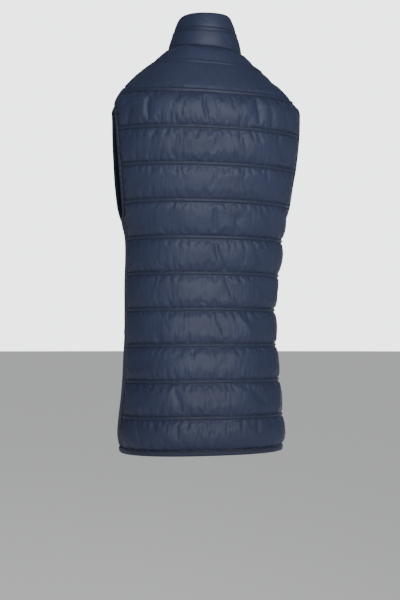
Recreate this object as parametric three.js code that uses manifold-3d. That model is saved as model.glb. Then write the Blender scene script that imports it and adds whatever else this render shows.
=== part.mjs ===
// Quilted vest with a stand collar, in the hollow form it has when worn, its zip closed.
// Millimetres. +X is the wearer's left, -Y the front and +Z up. Heights are measured up from
// the hem, and the last lines lower the vest so that the origin lies between the shoulders.

import * as THREE from 'three';
import Module from 'manifold-3d';
import { mergeVertices } from 'three/addons/utils/BufferGeometryUtils.js';

const wasm = await Module();
wasm.setup();

// Body of the vest: the inside of the cloth at each height, with its reach from the middle to
// the wearer's left and right, behind and before. `lean` is the sideways place of the middle,
// and `tilt` how much a level line rises for each millimetre to the wearer's left.
const SECTIONS = [
  { height: 0, left: 138, right: 141, back: 126, front: 122, lean: 0, tilt: -0.018 },
  { height: 30, left: 143.5, right: 143.5, back: 128, front: 122, lean: 0, tilt: -0.016 },
  { height: 60, left: 141.5, right: 141.5, back: 128, front: 122, lean: 0, tilt: -0.014 },
  { height: 95, left: 137, right: 137, back: 126, front: 122, lean: 0, tilt: -0.011 },
  { height: 150, left: 133.5, right: 133.5, back: 121, front: 121, lean: 0, tilt: -0.007 },
  { height: 230, left: 131, right: 127, back: 111, front: 120, lean: 0, tilt: 0 },
  { height: 300, left: 130.5, right: 134, back: 109, front: 122, lean: 0, tilt: 0.006 },
  { height: 345, left: 130.5, right: 138.5, back: 111, front: 126, lean: -1, tilt: 0.01 },
  { height: 374, left: 132, right: 140, back: 115, front: 130, lean: -1.5, tilt: 0.012 },
  { height: 406, left: 138, right: 144, back: 120, front: 135, lean: -2, tilt: 0.015 },
  { height: 434, left: 149, right: 152, back: 126, front: 139, lean: -3, tilt: 0.018 },
  { height: 470, left: 158, right: 158, back: 131, front: 142, lean: -4, tilt: 0.021 },
  { height: 503, left: 163, right: 163, back: 135, front: 142, lean: -5, tilt: 0.024 },
  { height: 557, left: 167, right: 167, back: 138, front: 138, lean: -6, tilt: 0.029 },
  { height: 600, left: 166, right: 166, back: 135, front: 128, lean: -7, tilt: 0.035 },
  { height: 710, left: 160, right: 160, back: 124, front: 96, lean: -11.5, tilt: 0.09 },
];
const SQUARE = 2.35; // 2 would make each ring an ellipse

// Neck seam and collar, also to the inside of the cloth.
const YOKE = 600; // above this height the body draws in to the neck
const NECK = { back: 707, front: 632, half: 63.5, middle: -12, depth: 74, lean: -9 };
const COLLAR = { tall: 62, half: 42, middle: -20, depth: 66, lean: -10.5, tilt: 0.02, bow: 3 };
const SHOULDER_SLOPE = 1.3; // how late the yoke draws in: 1 would be a straight slope

// Armhole seen from the side.
const ARMHOLE = { bottom: 404, top: 632, middle: -4, back: 66, front: 72, square: 2.5 };
const ARM_RISE = (ARMHOLE.top - ARMHOLE.bottom) / 2;
const ARM_MIDDLE = (ARMHOLE.top + ARMHOLE.bottom) / 2;

// Half the width of the plain side panel, whose middle lies a little before the origin.
const SIDE_MIDDLE = -11;
const SIDE_HALF = [
  { height: 0, half: 41 },
  { height: 120, half: 34 },
  { height: 260, half: 30 },
  { height: 410, half: 34 },
];

// Quilting.
const HEM_BAND = 10;
const FIRST_LINE = 64.2;
const PITCH = 61.6; // from one double stitched line to the next, along the cloth
const LEVEL_LINES = 9; // lines above the first that lie level
const UPPER_PITCH = 55.2; // rise of a channel where the back leans forward
const BACK_TOP = LEVEL_LINES + (NECK.back - FIRST_LINE - PITCH * LEVEL_LINES) / UPPER_PITCH;
const STITCH_APART = 6;
const CLOTH = 2.4; // thickness at a stitched line
const LOFT = 4.4; // what the filling adds at the crown of a channel
const PIPE = 1.5; // the raised cord between the two rows of stitching
const GATHER = 1.1;
const GATHER_WAVE = 37;
const THINNEST = 1.6;
const EDGE_FADE = 11; // the filling thins out this far from a panel's edges

const GAP = 0.3; // between pieces that are sewn together
const ZIP_HALF = 7.5; // from the middle of the zip to the edge of each front
const BINDING = 6.6; // width
const BINDING_GAP = 0.4; // a little more than at a seam, because the armhole's edge twists

// Largest folds of the back, as from behind: a trough from one end to the other, x to the
// wearer's left. A fold with a negative depth stands up as a ridge.
const BACK_FOLDS = [
  { x: 128, z: 598, toX: 138, toZ: 562, depth: 2.2, width: 9 },
  { x: 105, z: 608, toX: 106, toZ: 568, depth: 1.8, width: 8 },
  { x: -76, z: 606, toX: -81, toZ: 562, depth: 2.2, width: 9 },
  { x: -98, z: 600, toX: -106, toZ: 562, depth: 2.2, width: 9 },
  { x: -127, z: 584, toX: -140, toZ: 552, depth: 2.4, width: 9 },
  { x: -113, z: 538, toX: -132, toZ: 503, depth: 2.2, width: 9 },
  { x: -6, z: 426, toX: -7, toZ: 380, depth: 1.8, width: 8 },
  { x: -43, z: 410, toX: -42, toZ: 376, depth: 1.8, width: 8 },
  { x: -80, z: 414, toX: -99, toZ: 376, depth: -2.6, width: 10 },
  { x: -3, z: 366, toX: -24, toZ: 316, depth: 2.4, width: 9 },
  { x: -77, z: 355, toX: -92, toZ: 319, depth: 2.0, width: 9 },
  { x: -24, z: 302, toX: -55, toZ: 256, depth: 3.0, width: 9 },
  { x: -46, z: 240, toX: -70, toZ: 206, depth: -3.0, width: 9 },
  { x: -8, z: 241, toX: -24, toZ: 205, depth: 2.2, width: 9 },
  { x: -29, z: 168, toX: -6, toZ: 136, depth: 2.2, width: 12 },
  { x: 62, z: 114, toX: 49, toZ: 74, depth: 2.4, width: 9 },
  { x: -66, z: 116, toX: -97, toZ: 84, depth: 2.6, width: 10 },
  { x: 121, z: 55, toX: 112, toZ: 22, depth: 2.0, width: 8 },
];

// Folds of a front, x measured from the zip towards its side.
const FRONT_FOLDS = [
  { x: 104, z: 590, toX: 92, toZ: 548, depth: 2.2, width: 9 },
  { x: 118, z: 530, toX: 100, toZ: 500, depth: 2.0, width: 9 },
  { x: 96, z: 418, toX: 60, toZ: 380, depth: 2.6, width: 10 },
  { x: 70, z: 300, toX: 40, toZ: 258, depth: 2.2, width: 9 },
  { x: 84, z: 238, toX: 58, toZ: 196, depth: -2.4, width: 10 },
  { x: 40, z: 112, toX: 58, toZ: 74, depth: 2.2, width: 9 },
];

const COLOUR = { shell: 0x343b52, knit: 0x262b3b, binding: 0x2b3142, tape: 0x1f2433, metal: 0x24262c };

const lerp = THREE.MathUtils.lerp;
const clamp = THREE.MathUtils.clamp;
const smooth = (x, from = 0, to = 1) => THREE.MathUtils.smoothstep(x, from, to);
const DEGREE = Math.PI / 180;

// A smooth curve through one column of a table.
function along(table, column, height) {
  const last = table.length - 2;
  const found = table.findIndex((row) => row.height > height) - 1;
  const i = found < -1 ? last : clamp(found, 0, last);
  const slope = (k) => {
    const a = table[Math.max(k - 1, 0)];
    const b = table[Math.min(k + 1, table.length - 1)];
    return (b[column] - a[column]) / (b.height - a.height);
  };
  const [a, b] = [table[i], table[i + 1]];
  const span = b.height - a.height;
  const t = clamp((height - a.height) / span, 0, 1);
  return (
    a[column] * (1 + 2 * t) * (1 - t) ** 2 +
    b[column] * t * t * (3 - 2 * t) +
    span * t * (1 - t) * (slope(i) * (1 - t) - slope(i + 1) * t)
  );
}

// Where a ring lies in the direction `angle`: 0 is the centre back, a right angle the
// wearer's left side and 180 degrees the centre front.
function ring(angle, { half, back, front, middle = 0, lean }) {
  const [s, c] = [Math.sin(angle), Math.cos(angle)];
  const depth = c > 0 ? back : front;
  const reach = (Math.abs(s / half) ** SQUARE + Math.abs(c / depth) ** SQUARE) ** (-1 / SQUARE);
  return new THREE.Vector2(lean + reach * s, middle + reach * c);
}

// Height of the neck seam round the neck: level behind, a little lower beside and lowest in
// front. The collar's top edge stays level further round.
const neckHeight = (angle) => NECK.back - (NECK.back - NECK.front) * ((1 - Math.cos(angle)) / 2) ** 3.2;
const collarHeight = (angle) =>
  NECK.back + COLLAR.tall - (NECK.back - NECK.front) * Math.min(Math.cos(angle), 0) ** 2;

const neckRing = (angle) => ring(angle, { ...NECK, back: NECK.depth, front: NECK.depth });
const yokeShare = (angle, height) => clamp((height - YOKE) / (neckHeight(angle) - YOKE), 0, 1);

// The inside of the cloth of the body.
function bodyPoint(angle, height) {
  const size = {};
  for (const column of ['back', 'front', 'lean']) size[column] = along(SECTIONS, column, height);
  size.half = along(SECTIONS, Math.sin(angle) > 0 ? 'left' : 'right', height);
  const share = yokeShare(angle, height);
  const flat = ring(angle, size).lerp(neckRing(angle), share ** SHOULDER_SLOPE);
  return new THREE.Vector3(flat.x, flat.y, height + along(SECTIONS, 'tilt', height) * flat.x);
}

// The inside of the collar, `share` of the way from the neck seam to the top edge.
function collarPoint(angle, share) {
  const top = ring(angle, { ...COLLAR, back: COLLAR.depth, front: COLLAR.depth });
  const seam = bodyPoint(angle, neckHeight(angle));
  const topHeight = collarHeight(angle) + COLLAR.tilt * top.x;
  const point = seam.lerp(new THREE.Vector3(top.x, top.y, topHeight), share);
  const bow = COLLAR.bow * Math.sin(Math.PI * share) * (0.5 + 0.5 * Math.cos(angle));
  return point.add(new THREE.Vector3(Math.sin(angle), Math.cos(angle), 0).multiplyScalar(bow));
}

// Outward direction of a surface, from its neighbours along the ring and up the cloth.
function outward(surface, angle, up, step) {
  const round = surface(angle + 0.01, up).sub(surface(angle - 0.01, up));
  const rise = surface(angle, up + step).sub(surface(angle, up - step));
  return rise.cross(round).normalize();
}

// Body and collar share one direction at the neck seam, so that their edges meet in a mitre.
function neckOutward(angle) {
  const below = outward(bodyPoint, angle, neckHeight(angle) - 3, 1.5);
  return below.add(outward(collarPoint, angle, 0.05, 0.04)).normalize();
}

function bodyFrame(angle, height) {
  const top = neckHeight(angle);
  const point = bodyPoint(angle, Math.min(height, top));
  const plain = outward(bodyPoint, angle, Math.min(height, top - 2), 1.5);
  const turned = smooth(yokeShare(angle, height), 0.93, 1);
  const normal = turned > 0 ? plain.lerp(neckOutward(angle), turned).normalize() : plain;
  return { point, normal, angle, height };
}

function collarFrame(angle, share) {
  const point = collarPoint(angle, share);
  const plain = outward(collarPoint, angle, clamp(share, 0.05, 0.95), 0.04);
  const turned = smooth(1 - share, 0.9, 1);
  const normal = turned > 0 ? plain.lerp(neckOutward(angle), turned).normalize() : plain;
  return { point, normal, angle, share };
}

// The direction in which the body reaches a given depth (y) at a given height.
function angleAtDepth(depth, height) {
  let [near, far] = [0.02, Math.PI - 0.02];
  for (let i = 0; i < 30; i += 1) {
    const middle = (near + far) / 2;
    if (bodyPoint(middle, height).y > depth) near = middle;
    else far = middle;
  }
  return (near + far) / 2;
}

// Depth of the armhole's edge at a height. `side` is 1 behind and -1 in front.
function armholeDepth(height, side) {
  const reach = side > 0 ? ARMHOLE.back : ARMHOLE.front;
  const share = clamp(Math.abs(height - ARM_MIDDLE) / ARM_RISE, 0, 1);
  return ARMHOLE.middle + side * reach * (1 - share ** ARMHOLE.square) ** (1 / ARMHOLE.square);
}

// A place on the armhole's edge, by its direction from the armhole's middle.
function armholePlace(turn) {
  const [s, c] = [Math.sin(turn), Math.cos(turn)];
  const wide = c > 0 ? ARMHOLE.back : ARMHOLE.front;
  const reach = (Math.abs(c / wide) ** ARMHOLE.square + Math.abs(s / ARM_RISE) ** ARMHOLE.square)
    ** (-1 / ARMHOLE.square);
  return { depth: ARMHOLE.middle + reach * c, height: ARM_MIDDLE + reach * s };
}

const sideSeamDepth = (height, side) => SIDE_MIDDLE + side * along(SIDE_HALF, 'half', height);

// Height at which a side seam runs into the armhole.
function underarmCorner(side) {
  let [low, high] = [ARMHOLE.bottom, ARM_MIDDLE];
  for (let i = 0; i < 30; i += 1) {
    const middle = (low + high) / 2;
    if (side * (armholeDepth(middle, side) - sideSeamDepth(middle, side)) < 0) low = middle;
    else high = middle;
  }
  return high;
}
const CORNER = { back: underarmCorner(1), front: underarmCorner(-1) };

const heightOf = (line) =>
  FIRST_LINE + PITCH * Math.min(line, LEVEL_LINES) + UPPER_PITCH * Math.max(line - LEVEL_LINES, 0);
const lineOf = (height) => (height - FIRST_LINE) / PITCH;

// The shoulder seam starts at the armhole's edge, behind the ridge of the shoulder, on the
// last level line, and turns in to the neck at its end.
const HALF_STITCH = STITCH_APART / 2 / PITCH;
const SHOULDER_END = heightOf(LEVEL_LINES - HALF_STITCH);
const SEAM = { start: angleAtDepth(armholeDepth(SHOULDER_END, 1), SHOULDER_END), lean: 7, turnIn: 30 };
function seamAngle(height) {
  const share = clamp((height - SHOULDER_END) / (NECK.back - SHOULDER_END), 0, 1);
  return SEAM.start - (SEAM.lean * share + SEAM.turnIn * share ** 5) * DEGREE;
}

// Thickness of the quilted cloth at a line number: whole numbers are stitched lines.
function loft(line, edge) {
  const off = Math.abs(line - Math.round(line));
  if (off <= HALF_STITCH) return CLOTH + PIPE * (1 - (off / HALF_STITCH) ** 2) * edge;
  const crown = Math.sin(Math.PI * ((off - HALF_STITCH) / (1 - 2 * HALF_STITCH))) ** 0.62;
  return CLOTH + LOFT * crown * edge;
}

// Gathers: the cloth draws up in uneven waves beside each stitched line.
function gathers(across, line) {
  const off = Math.abs(line - Math.round(line));
  const beside = smooth(off, HALF_STITCH, 0.14) * (1 - smooth(off, 0.2, 0.42));
  const row = Math.round(line) + (line > Math.round(line) ? 0.5 : 0);
  const wave = Math.sin((across / GATHER_WAVE) * 2 * Math.PI + row * 2.4)
    + 0.6 * Math.sin((across / GATHER_WAVE) * 3.4 * Math.PI + row * 5.1);
  return GATHER * beside * wave;
}

// How deep the folds of a table are at a place.
function folds(table, x, z) {
  let total = 0;
  for (const fold of table) {
    const [dx, dz] = [fold.toX - fold.x, fold.toZ - fold.z];
    const length = Math.hypot(dx, dz);
    const run = ((x - fold.x) * dx + (z - fold.z) * dz) / length / length;
    const aside = ((x - fold.x) * dz - (z - fold.z) * dx) / length;
    const fade = smooth(run, -0.15, 0.25) * (1 - smooth(run, 0.75, 1.15));
    total += fold.depth * fade * Math.exp(-((aside / fold.width) ** 2));
  }
  return total;
}

// Line numbers at which a quilted panel has rows of points, three on each stitched line.
function quiltRows(from, to) {
  const rows = [from];
  for (let line = Math.ceil(from); line <= to + 0.5; line += 1) {
    for (const part of [-0.5, -0.2, -HALF_STITCH, 0, HALF_STITCH, 0.2]) rows.push(line + part);
  }
  return [...rows.filter((row) => row > from - 0.001 && row < to - 0.06), to];
}

// Shares of the way across a panel, closer together at both edges.
const columnShares = (count, edge) =>
  Array.from({ length: count + 1 }, (_, i) => {
    if (i === 0 || i === count) return i / count;
    return lerp(edge, 1 - edge, (i - 1) / (count - 2));
  });

// Every so many entries of a list, with its first and last, and all from `all` on.
const thin = (list, every, all = Infinity) =>
  list.filter((_, i) => i % every === 0 || i === list.length - 1 || i >= all);

// A closed wall over a grid of frames: raised outer points, a plain inner sheet through fewer
// of them but through all of the last row, and a rim between the two all round.
function wall(frames, thickness, everyRow, everyColumn, allRowsFrom = Infinity) {
  const [rows, columns] = [frames.length, frames[0].length];
  const points = [];
  const faces = [];
  const outer = frames.map((line, r) => line.map(({ point, normal }, c) =>
    points.push(point.clone().addScaledVector(normal, thickness(r, c))) - 1));
  const keptRows = thin([...Array(rows).keys()], everyRow, allRowsFrom);
  const keptColumns = thin([...Array(columns).keys()], everyColumn);
  const inner = new Map();
  const everyOne = [...Array(columns).keys()];
  for (const r of keptRows) {
    const kept = r === rows - 1 ? everyOne : keptColumns;
    for (const c of kept) inner.set(`${r},${c}`, points.push(frames[r][c].point) - 1);
  }
  const quad = (a, b, c, d) => faces.push(a, b, c, a, c, d);
  for (let r = 0; r + 1 < rows; r += 1) {
    for (let c = 0; c + 1 < columns; c += 1) {
      quad(outer[r][c], outer[r + 1][c], outer[r + 1][c + 1], outer[r][c + 1]);
    }
  }
  const innerAt = (r, c) => inner.get(`${r},${c}`);
  for (let i = 0; i + 1 < keptRows.length; i += 1) {
    for (let j = 0; j + 1 < keptColumns.length; j += 1) {
      const [r0, r1, c0, c1] = [keptRows[i], keptRows[i + 1], keptColumns[j], keptColumns[j + 1]];
      const above = r1 === rows - 1 ? everyOne.slice(c0, c1 + 1) : [c0, c1];
      faces.push(innerAt(r0, c0), innerAt(r0, c1), innerAt(r1, c1));
      for (let k = above.length - 1; k > 0; k -= 1) {
        faces.push(innerAt(r0, c0), innerAt(r1, above[k]), innerAt(r1, above[k - 1]));
      }
    }
  }
  // One side of the rim: the outer edge has every point, the inner edge only the kept ones.
  const rim = (kept, outerAt, innerAtEdge, flip) => {
    const face = (a, b, c) => (flip ? faces.push(a, c, b) : faces.push(a, b, c));
    for (let i = 0; i + 1 < kept.length; i += 1) {
      for (let k = kept[i]; k < kept[i + 1]; k += 1) face(innerAtEdge(kept[i]), outerAt(k), outerAt(k + 1));
      face(innerAtEdge(kept[i]), outerAt(kept[i + 1]), innerAtEdge(kept[i + 1]));
    }
  };
  rim(keptColumns, (c) => outer[0][c], (c) => innerAt(0, c), false);
  rim(everyOne, (c) => outer[rows - 1][c], (c) => innerAt(rows - 1, c), true);
  rim(keptRows, (r) => outer[r][0], (r) => innerAt(r, 0), true);
  rim(keptRows, (r) => outer[r][columns - 1], (r) => innerAt(r, columns - 1), false);
  return solid(points, faces);
}

// A bar of one section along a path of frames. Section points are [sideways, outwards].
function bar(path, section, closed = false) {
  const points = [];
  const faces = [];
  const n = section.length;
  for (const { point, normal, aside } of path) {
    for (const [u, v] of section) {
      points.push(point.clone().addScaledVector(aside, u).addScaledVector(normal, v));
    }
  }
  const stretches = closed ? path.length : path.length - 1;
  for (let i = 0; i < stretches; i += 1) {
    const [a, b] = [i * n, ((i + 1) % path.length) * n];
    for (let k = 0; k < n; k += 1) {
      const m = (k + 1) % n;
      faces.push(a + k, b + k, b + m, a + k, b + m, a + m);
    }
  }
  if (!closed) {
    const end = (path.length - 1) * n;
    for (let k = 1; k + 1 < n; k += 1) faces.push(0, k, k + 1, end, end + k + 1, end + k);
  }
  return solid(points, faces);
}

// A mesh of points and faces, its faces pointing out.
function solid(points, faces) {
  let volume = 0;
  for (let i = 0; i < faces.length; i += 3) {
    const [a, b, c] = [points[faces[i]], points[faces[i + 1]], points[faces[i + 2]]];
    volume += a.clone().cross(b).dot(c);
  }
  if (volume < 0) faces.reverse();
  const geometry = new THREE.BufferGeometry();
  geometry.setAttribute('position', new THREE.Float32BufferAttribute(points.flatMap((p) => [p.x, p.y, p.z]), 3));
  geometry.setIndex(faces);
  geometry.computeVertexNormals();
  return geometry;
}

// Thickness of a quilted grid: loft, gathers and folds, all fading out at the panel's edges.
function quilted(lines, frames, foldTable, foldX) {
  const edgeFade = frames.map((row) => row.map(({ point }, c) => {
    const sides = [row[0], row.at(-1), frames[0][c], frames.at(-1)[c]];
    return smooth(Math.min(...sides.map((side) => point.distanceTo(side.point))), 0, EDGE_FADE);
  }));
  const thickness = (r, c) => {
    const { point } = frames[r][c];
    const edge = edgeFade[r][c];
    const x = foldX(point);
    const soft = edge * (gathers(x, lines[r]) - folds(foldTable, x, point.z));
    return Math.max(THINNEST, loft(lines[r], edge) + soft);
  };
  return wall(frames, thickness, 3, 3, lines.findIndex((line) => line > lineOf(CORNER.front) - 0.01));
}

// Back panel: from side seam to side seam, then armhole to armhole, then between the
// shoulder seams up to the neck.
const BACK_LINES = [...quiltRows(lineOf(HEM_BAND + GAP), BACK_TOP), lineOf(CORNER.back)].sort((a, b) => a - b);
const SEAM_HEIGHTS = BACK_LINES.map(heightOf).filter((height) => height > SHOULDER_END - 0.01);
// Half the gap at a shoulder seam, as a turn round the neck. It widens where the seam bends.
const seamTurn = (height) => (GAP / 180) * (1 + 2.4 * smooth(height, 645, 685));

function backPanel() {
  const shares = columnShares(26, 0.035);
  const edge = (height) => {
    if (height < CORNER.back) return angleAtDepth(sideSeamDepth(height, 1) + GAP / 2, height);
    if (height < SHOULDER_END) return angleAtDepth(armholeDepth(height, 1), height);
    return seamAngle(height) - seamTurn(height);
  };
  const frames = BACK_LINES.map((line) => {
    const height = heightOf(line);
    const half = edge(height);
    return shares.map((share) => bodyFrame(lerp(-half, half, share), height));
  });
  return quilted(BACK_LINES, frames, BACK_FOLDS, (point) => point.x);
}

// Ends of the rows of a front above the last level line. There the rows swing over the
// shoulder, from the level row to the shoulder seam.
const FAN_FROM = LEVEL_LINES + HALF_STITCH;
const FAN_TO = 11;
const FAN_ZIP = 0.07; // share of the inner end's way that runs up the zip
const FAN_LINE = { inner: 0.41, outer: 0.64 }; // where the stitched line in the fan ends
const FAN_CORNER = FAN_FROM + (FAN_ZIP / FAN_LINE.inner) * (LEVEL_LINES + 1 - FAN_FROM);
const FAN_LINES = [
  FAN_FROM, FAN_CORNER, 9.5, 9.8, 10 - HALF_STITCH, 10, 10 + HALF_STITCH, 10.25, 10.6, 10.85, FAN_TO,
];

// Direction of the edge of the left front beside the zip, on the body or on the collar.
function zipEdge(surface, up) {
  const middle = surface(Math.PI, up).x;
  let [near, far] = [Math.PI - 0.3, Math.PI];
  for (let i = 0; i < 30; i += 1) {
    const angle = (near + far) / 2;
    if (surface(angle, up).x - middle > ZIP_HALF) near = angle;
    else far = angle;
  }
  return near;
}

function fanShare(line, atLine) {
  const first = (line - FAN_FROM) / (LEVEL_LINES + 1 - FAN_FROM);
  if (line < LEVEL_LINES + 1) return atLine * first;
  return lerp(atLine, 1, (line - LEVEL_LINES - 1) / (FAN_TO - LEVEL_LINES - 1));
}

function fanInner(share) {
  if (share < FAN_ZIP) {
    const height = lerp(heightOf(FAN_FROM), NECK.front, share / FAN_ZIP);
    return { angle: zipEdge(bodyPoint, height), level: yokeShare(Math.PI, height) };
  }
  const round = (share - FAN_ZIP) / (1 - FAN_ZIP);
  return { angle: lerp(zipEdge(bodyPoint, NECK.front), seamAngle(NECK.back), round), level: 1 };
}

const TURN_FRONT = Math.atan2(heightOf(FAN_FROM) - ARM_MIDDLE,
  armholeDepth(heightOf(FAN_FROM), -1) - ARMHOLE.middle);
const TURN_BACK = Math.atan2(SHOULDER_END - ARM_MIDDLE, armholeDepth(SHOULDER_END, 1) - ARMHOLE.middle);

function fanOuter(share) {
  const { depth, height } = armholePlace(lerp(TURN_FRONT, TURN_BACK, share));
  const angle = angleAtDepth(depth, height);
  return { angle, level: yokeShare(angle, height) };
}

// One place on a front of the wearer's left, by its row and its column from the zip to the
// side. The rows above the last level line bend more and more like the shoulder seam, and
// the last one has its places where the back panel has its own along that seam.
const FRONT_SHARES = columnShares(SEAM_HEIGHTS.length - 1, 0.07);
function frontPlace(line, column) {
  const share = FRONT_SHARES[column];
  const height = heightOf(line);
  if (line < FAN_FROM) {
    const inner = zipEdge(bodyPoint, height);
    const outer = height < CORNER.front
      ? angleAtDepth(sideSeamDepth(height, -1) - GAP / 2, height)
      : angleAtDepth(armholeDepth(height, -1), height);
    return { angle: lerp(inner, outer, share), height };
  }
  const inner = fanInner(fanShare(line, FAN_LINE.inner));
  const outer = fanOuter(fanShare(line, FAN_LINE.outer));
  const seamHeight = SEAM_HEIGHTS.at(-1 - column);
  const [neckEnd, armEnd] = [NECK.back, SHOULDER_END].map((at) => [seamAngle(at), yokeShare(0, at)]);
  const bend = ((line - FAN_FROM) / (FAN_TO - FAN_FROM)) ** 2;
  const angle = lerp(inner.angle, outer.angle, share)
    + bend * (seamAngle(seamHeight) - lerp(neckEnd[0], armEnd[0], share) + seamTurn(seamHeight));
  const level = lerp(inner.level, outer.level, share)
    + bend * (yokeShare(0, seamHeight) - lerp(neckEnd[1], armEnd[1], share));
  return { angle, height: lerp(YOKE, neckHeight(angle), clamp(level, 0, 1)) };
}

const FRONT_LINES = [
  ...quiltRows(lineOf(HEM_BAND + GAP), FAN_FROM).filter((line) => line < FAN_FROM - 0.01),
  lineOf(CORNER.front),
  ...FAN_LINES,
].sort((a, b) => a - b);

function frontPanel(side) {
  const frames = FRONT_LINES.map((line) => FRONT_SHARES.map((_, column) => {
    const { angle, height } = frontPlace(line, column);
    return bodyFrame(side * angle, height);
  }));
  const fromZip = (point) => side * (point.x - along(SECTIONS, 'lean', point.z));
  return quilted(FRONT_LINES, frames, FRONT_FOLDS, fromZip);
}

// Side panel: plain, from the hem to the underarm, with a soft ridge down its middle.
const SIDE_SHARES = [0, 0.2, 0.4, 0.5, 0.6, 0.8, 1];
function sidePanel(side) {
  const rows = 22;
  const frames = Array.from({ length: rows + 1 }, (_, r) => SIDE_SHARES.map((share) => {
    const up = r / rows;
    const depthAt = (height) => lerp(
      sideSeamDepth(height, 1) - GAP / 2,
      sideSeamDepth(height, -1) + GAP / 2,
      share,
    );
    const height = lerp(HEM_BAND + GAP, underarm(depthAt(ARMHOLE.bottom)), up);
    return bodyFrame(side * angleAtDepth(depthAt(height), height), height);
  }));
  return wall(frames, (r, c) => CLOTH + (SIDE_SHARES[c] === 0.5 ? 0.9 : 0), 2, 1);
}

// Height of the armhole's lowest edge at a depth.
function underarm(depth) {
  const reach = depth > ARMHOLE.middle ? ARMHOLE.back : ARMHOLE.front;
  const share = Math.abs(depth - ARMHOLE.middle) / reach;
  return ARM_MIDDLE - ARM_RISE * (1 - share ** ARMHOLE.square) ** (1 / ARMHOLE.square);
}

// Stand collar, quilted as the body is, with one stitched line round its middle.
function collar() {
  const shares = [GAP / COLLAR.tall, 0.08, 0.25, 0.42, 0.47, 0.52, 0.57, 0.75, 0.92, 1];
  const lines = [0.06, 0.2, 0.5, 0.8, 1 - HALF_STITCH, 1, 1 + HALF_STITCH, 1.5, 1.8, 1.96];
  const round = FAN_LINES.slice(1).map((line) => frontPlace(line, 0).angle);
  const behind = Array.from({ length: 9 }, (_, i) => round.at(-1) * (1 - (i + 1) / 5));
  const across = [...round.map((angle) => -angle), ...behind.map((angle) => -angle), ...round.reverse()];
  const frames = shares.map((share) => {
    const stretch = zipEdge(collarPoint, share) / across.at(-1);
    return across.map((angle) => collarFrame(angle * stretch, share));
  });
  const thickness = (r, c) => {
    const gap = Math.min(c, across.length - 1 - c);
    return lerp(CLOTH, loft(lines[r], 1), 0.75 * smooth(gap, 0, 1.5));
  };
  return wall(frames, thickness, 3, 1);
}

// The band along the hem, from one edge of the zip to the other.
function hemBand() {
  const heights = [0, 2.5, 7.5, HEM_BAND];
  const thick = [2.6, 4.4, 4.6, 3];
  const across = columnShares(60, 0.012);
  const frames = heights.map((height) => {
    const half = zipEdge(bodyPoint, height);
    return across.map((part) => bodyFrame(lerp(-half, half, part), height));
  });
  return wall(frames, (r) => thick[r], 3, 1);
}

// Places round the left armhole, where the panels' own edge points are.
function armholeEdge() {
  const between = (lines, low, high) =>
    lines.map(heightOf).filter((height) => height > low - 0.01 && height < high + 0.01);
  const behind = between(BACK_LINES, CORNER.back, SHOULDER_END);
  const before = between(FRONT_LINES, CORNER.front, heightOf(FAN_FROM) - 1).reverse();
  const atDepth = (depth, height) => ({ angle: angleAtDepth(depth, height), height });
  const overShoulder = FAN_LINES.slice(0, -1).reverse();
  const [low, high] = [sideSeamDepth(ARMHOLE.bottom, -1), sideSeamDepth(ARMHOLE.bottom, 1)];
  return [
    ...behind.map((height) => atDepth(armholeDepth(height, 1), height)),
    ...overShoulder.map((line) => frontPlace(line, FRONT_SHARES.length - 1)),
    ...before.map((height) => atDepth(armholeDepth(height, -1), height)),
    ...SIDE_SHARES.slice(1, -1).reverse().map((share) => {
      const depth = lerp(high, low, share);
      return atDepth(depth, underarm(depth));
    }),
  ];
}

function armholeBinding(side) {
  const edge = armholeEdge().map(({ angle, height }) => bodyFrame(side * angle, height));
  const path = edge.map(({ point, normal }, i) => {
    const before = edge[(i + edge.length - 1) % edge.length].point;
    const after = edge[(i + 1) % edge.length].point;
    const run = after.clone().sub(before);
    const aside = normal.clone().cross(run).normalize();
    const middle = new THREE.Vector3(point.x, ARMHOLE.middle, ARM_MIDDLE);
    if (aside.dot(middle.sub(point)) < 0) aside.negate();
    return { point, normal, aside };
  });
  const section = [
    [BINDING_GAP, -0.6], [BINDING_GAP, 3.2], [1.6, 4.3], [BINDING - 1.2, 4.3], [BINDING, 3], [BINDING, 0], [BINDING - 1.2, -1],
  ];
  return bar(path, section, true);
}

// The front edge from the hem to the top of the collar, on the middle of the zip.
function zipPath(bottom, top) {
  const heights = [bottom, ...Array.from({ length: 12 }, (_, i) => 50 * (i + 1)), 608, 616, 624, NECK.front];
  const body = heights.map((height) => bodyFrame(Math.PI, height));
  const shares = [0.15, 0.4, 0.7, top];
  const upper = shares.map((share) => collarFrame(Math.PI, share));
  return [...body, ...upper].map((frame) => ({ ...frame, aside: new THREE.Vector3(1, 0, 0) }));
}

const ZIP = { teethHalf: 2.8, tapeOuter: ZIP_HALF - GAP, teethTop: 0.96, thick: 2.2 };

function zipTape(side) {
  const [near, far] = [side * (ZIP.teethHalf + GAP), side * ZIP.tapeOuter];
  return bar(zipPath(1, ZIP.teethTop), [[near, 0.4], [near, 1.6], [far, 1.6], [far, 0.4]]);
}

function zipTeeth() {
  const half = ZIP.teethHalf;
  return bar(zipPath(3, ZIP.teethTop), [[-half, 0], [-half, ZIP.thick], [half, ZIP.thick], [half, 0]]);
}

// Slider: a clamp round the top of the closed chain, with a bridge that carries the pull.
const SLIDER = { half: 3.9, long: 11, plate: 1.7, over: 2.2, bridgeHalf: 1, bridgeLong: 7.6, bridgeOut: 4.1 };
const PULL = { bar: 1.5, thick: 1.4, half: 3.3, long: 26, window: 1.6, windowLong: 4.6 };
const chainTop = collarFrame(Math.PI, ZIP.teethTop).point;
const PLATE_IN = chainTop.y - ZIP.thick - GAP; // the face of the front plate against the chain
const PLATE_OUT = PLATE_IN - SLIDER.plate;
const PIVOT = new THREE.Vector3(chainTop.x, PLATE_OUT - GAP - 0.2 - PULL.bar / 2, chainTop.z - 4.5);

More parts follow.
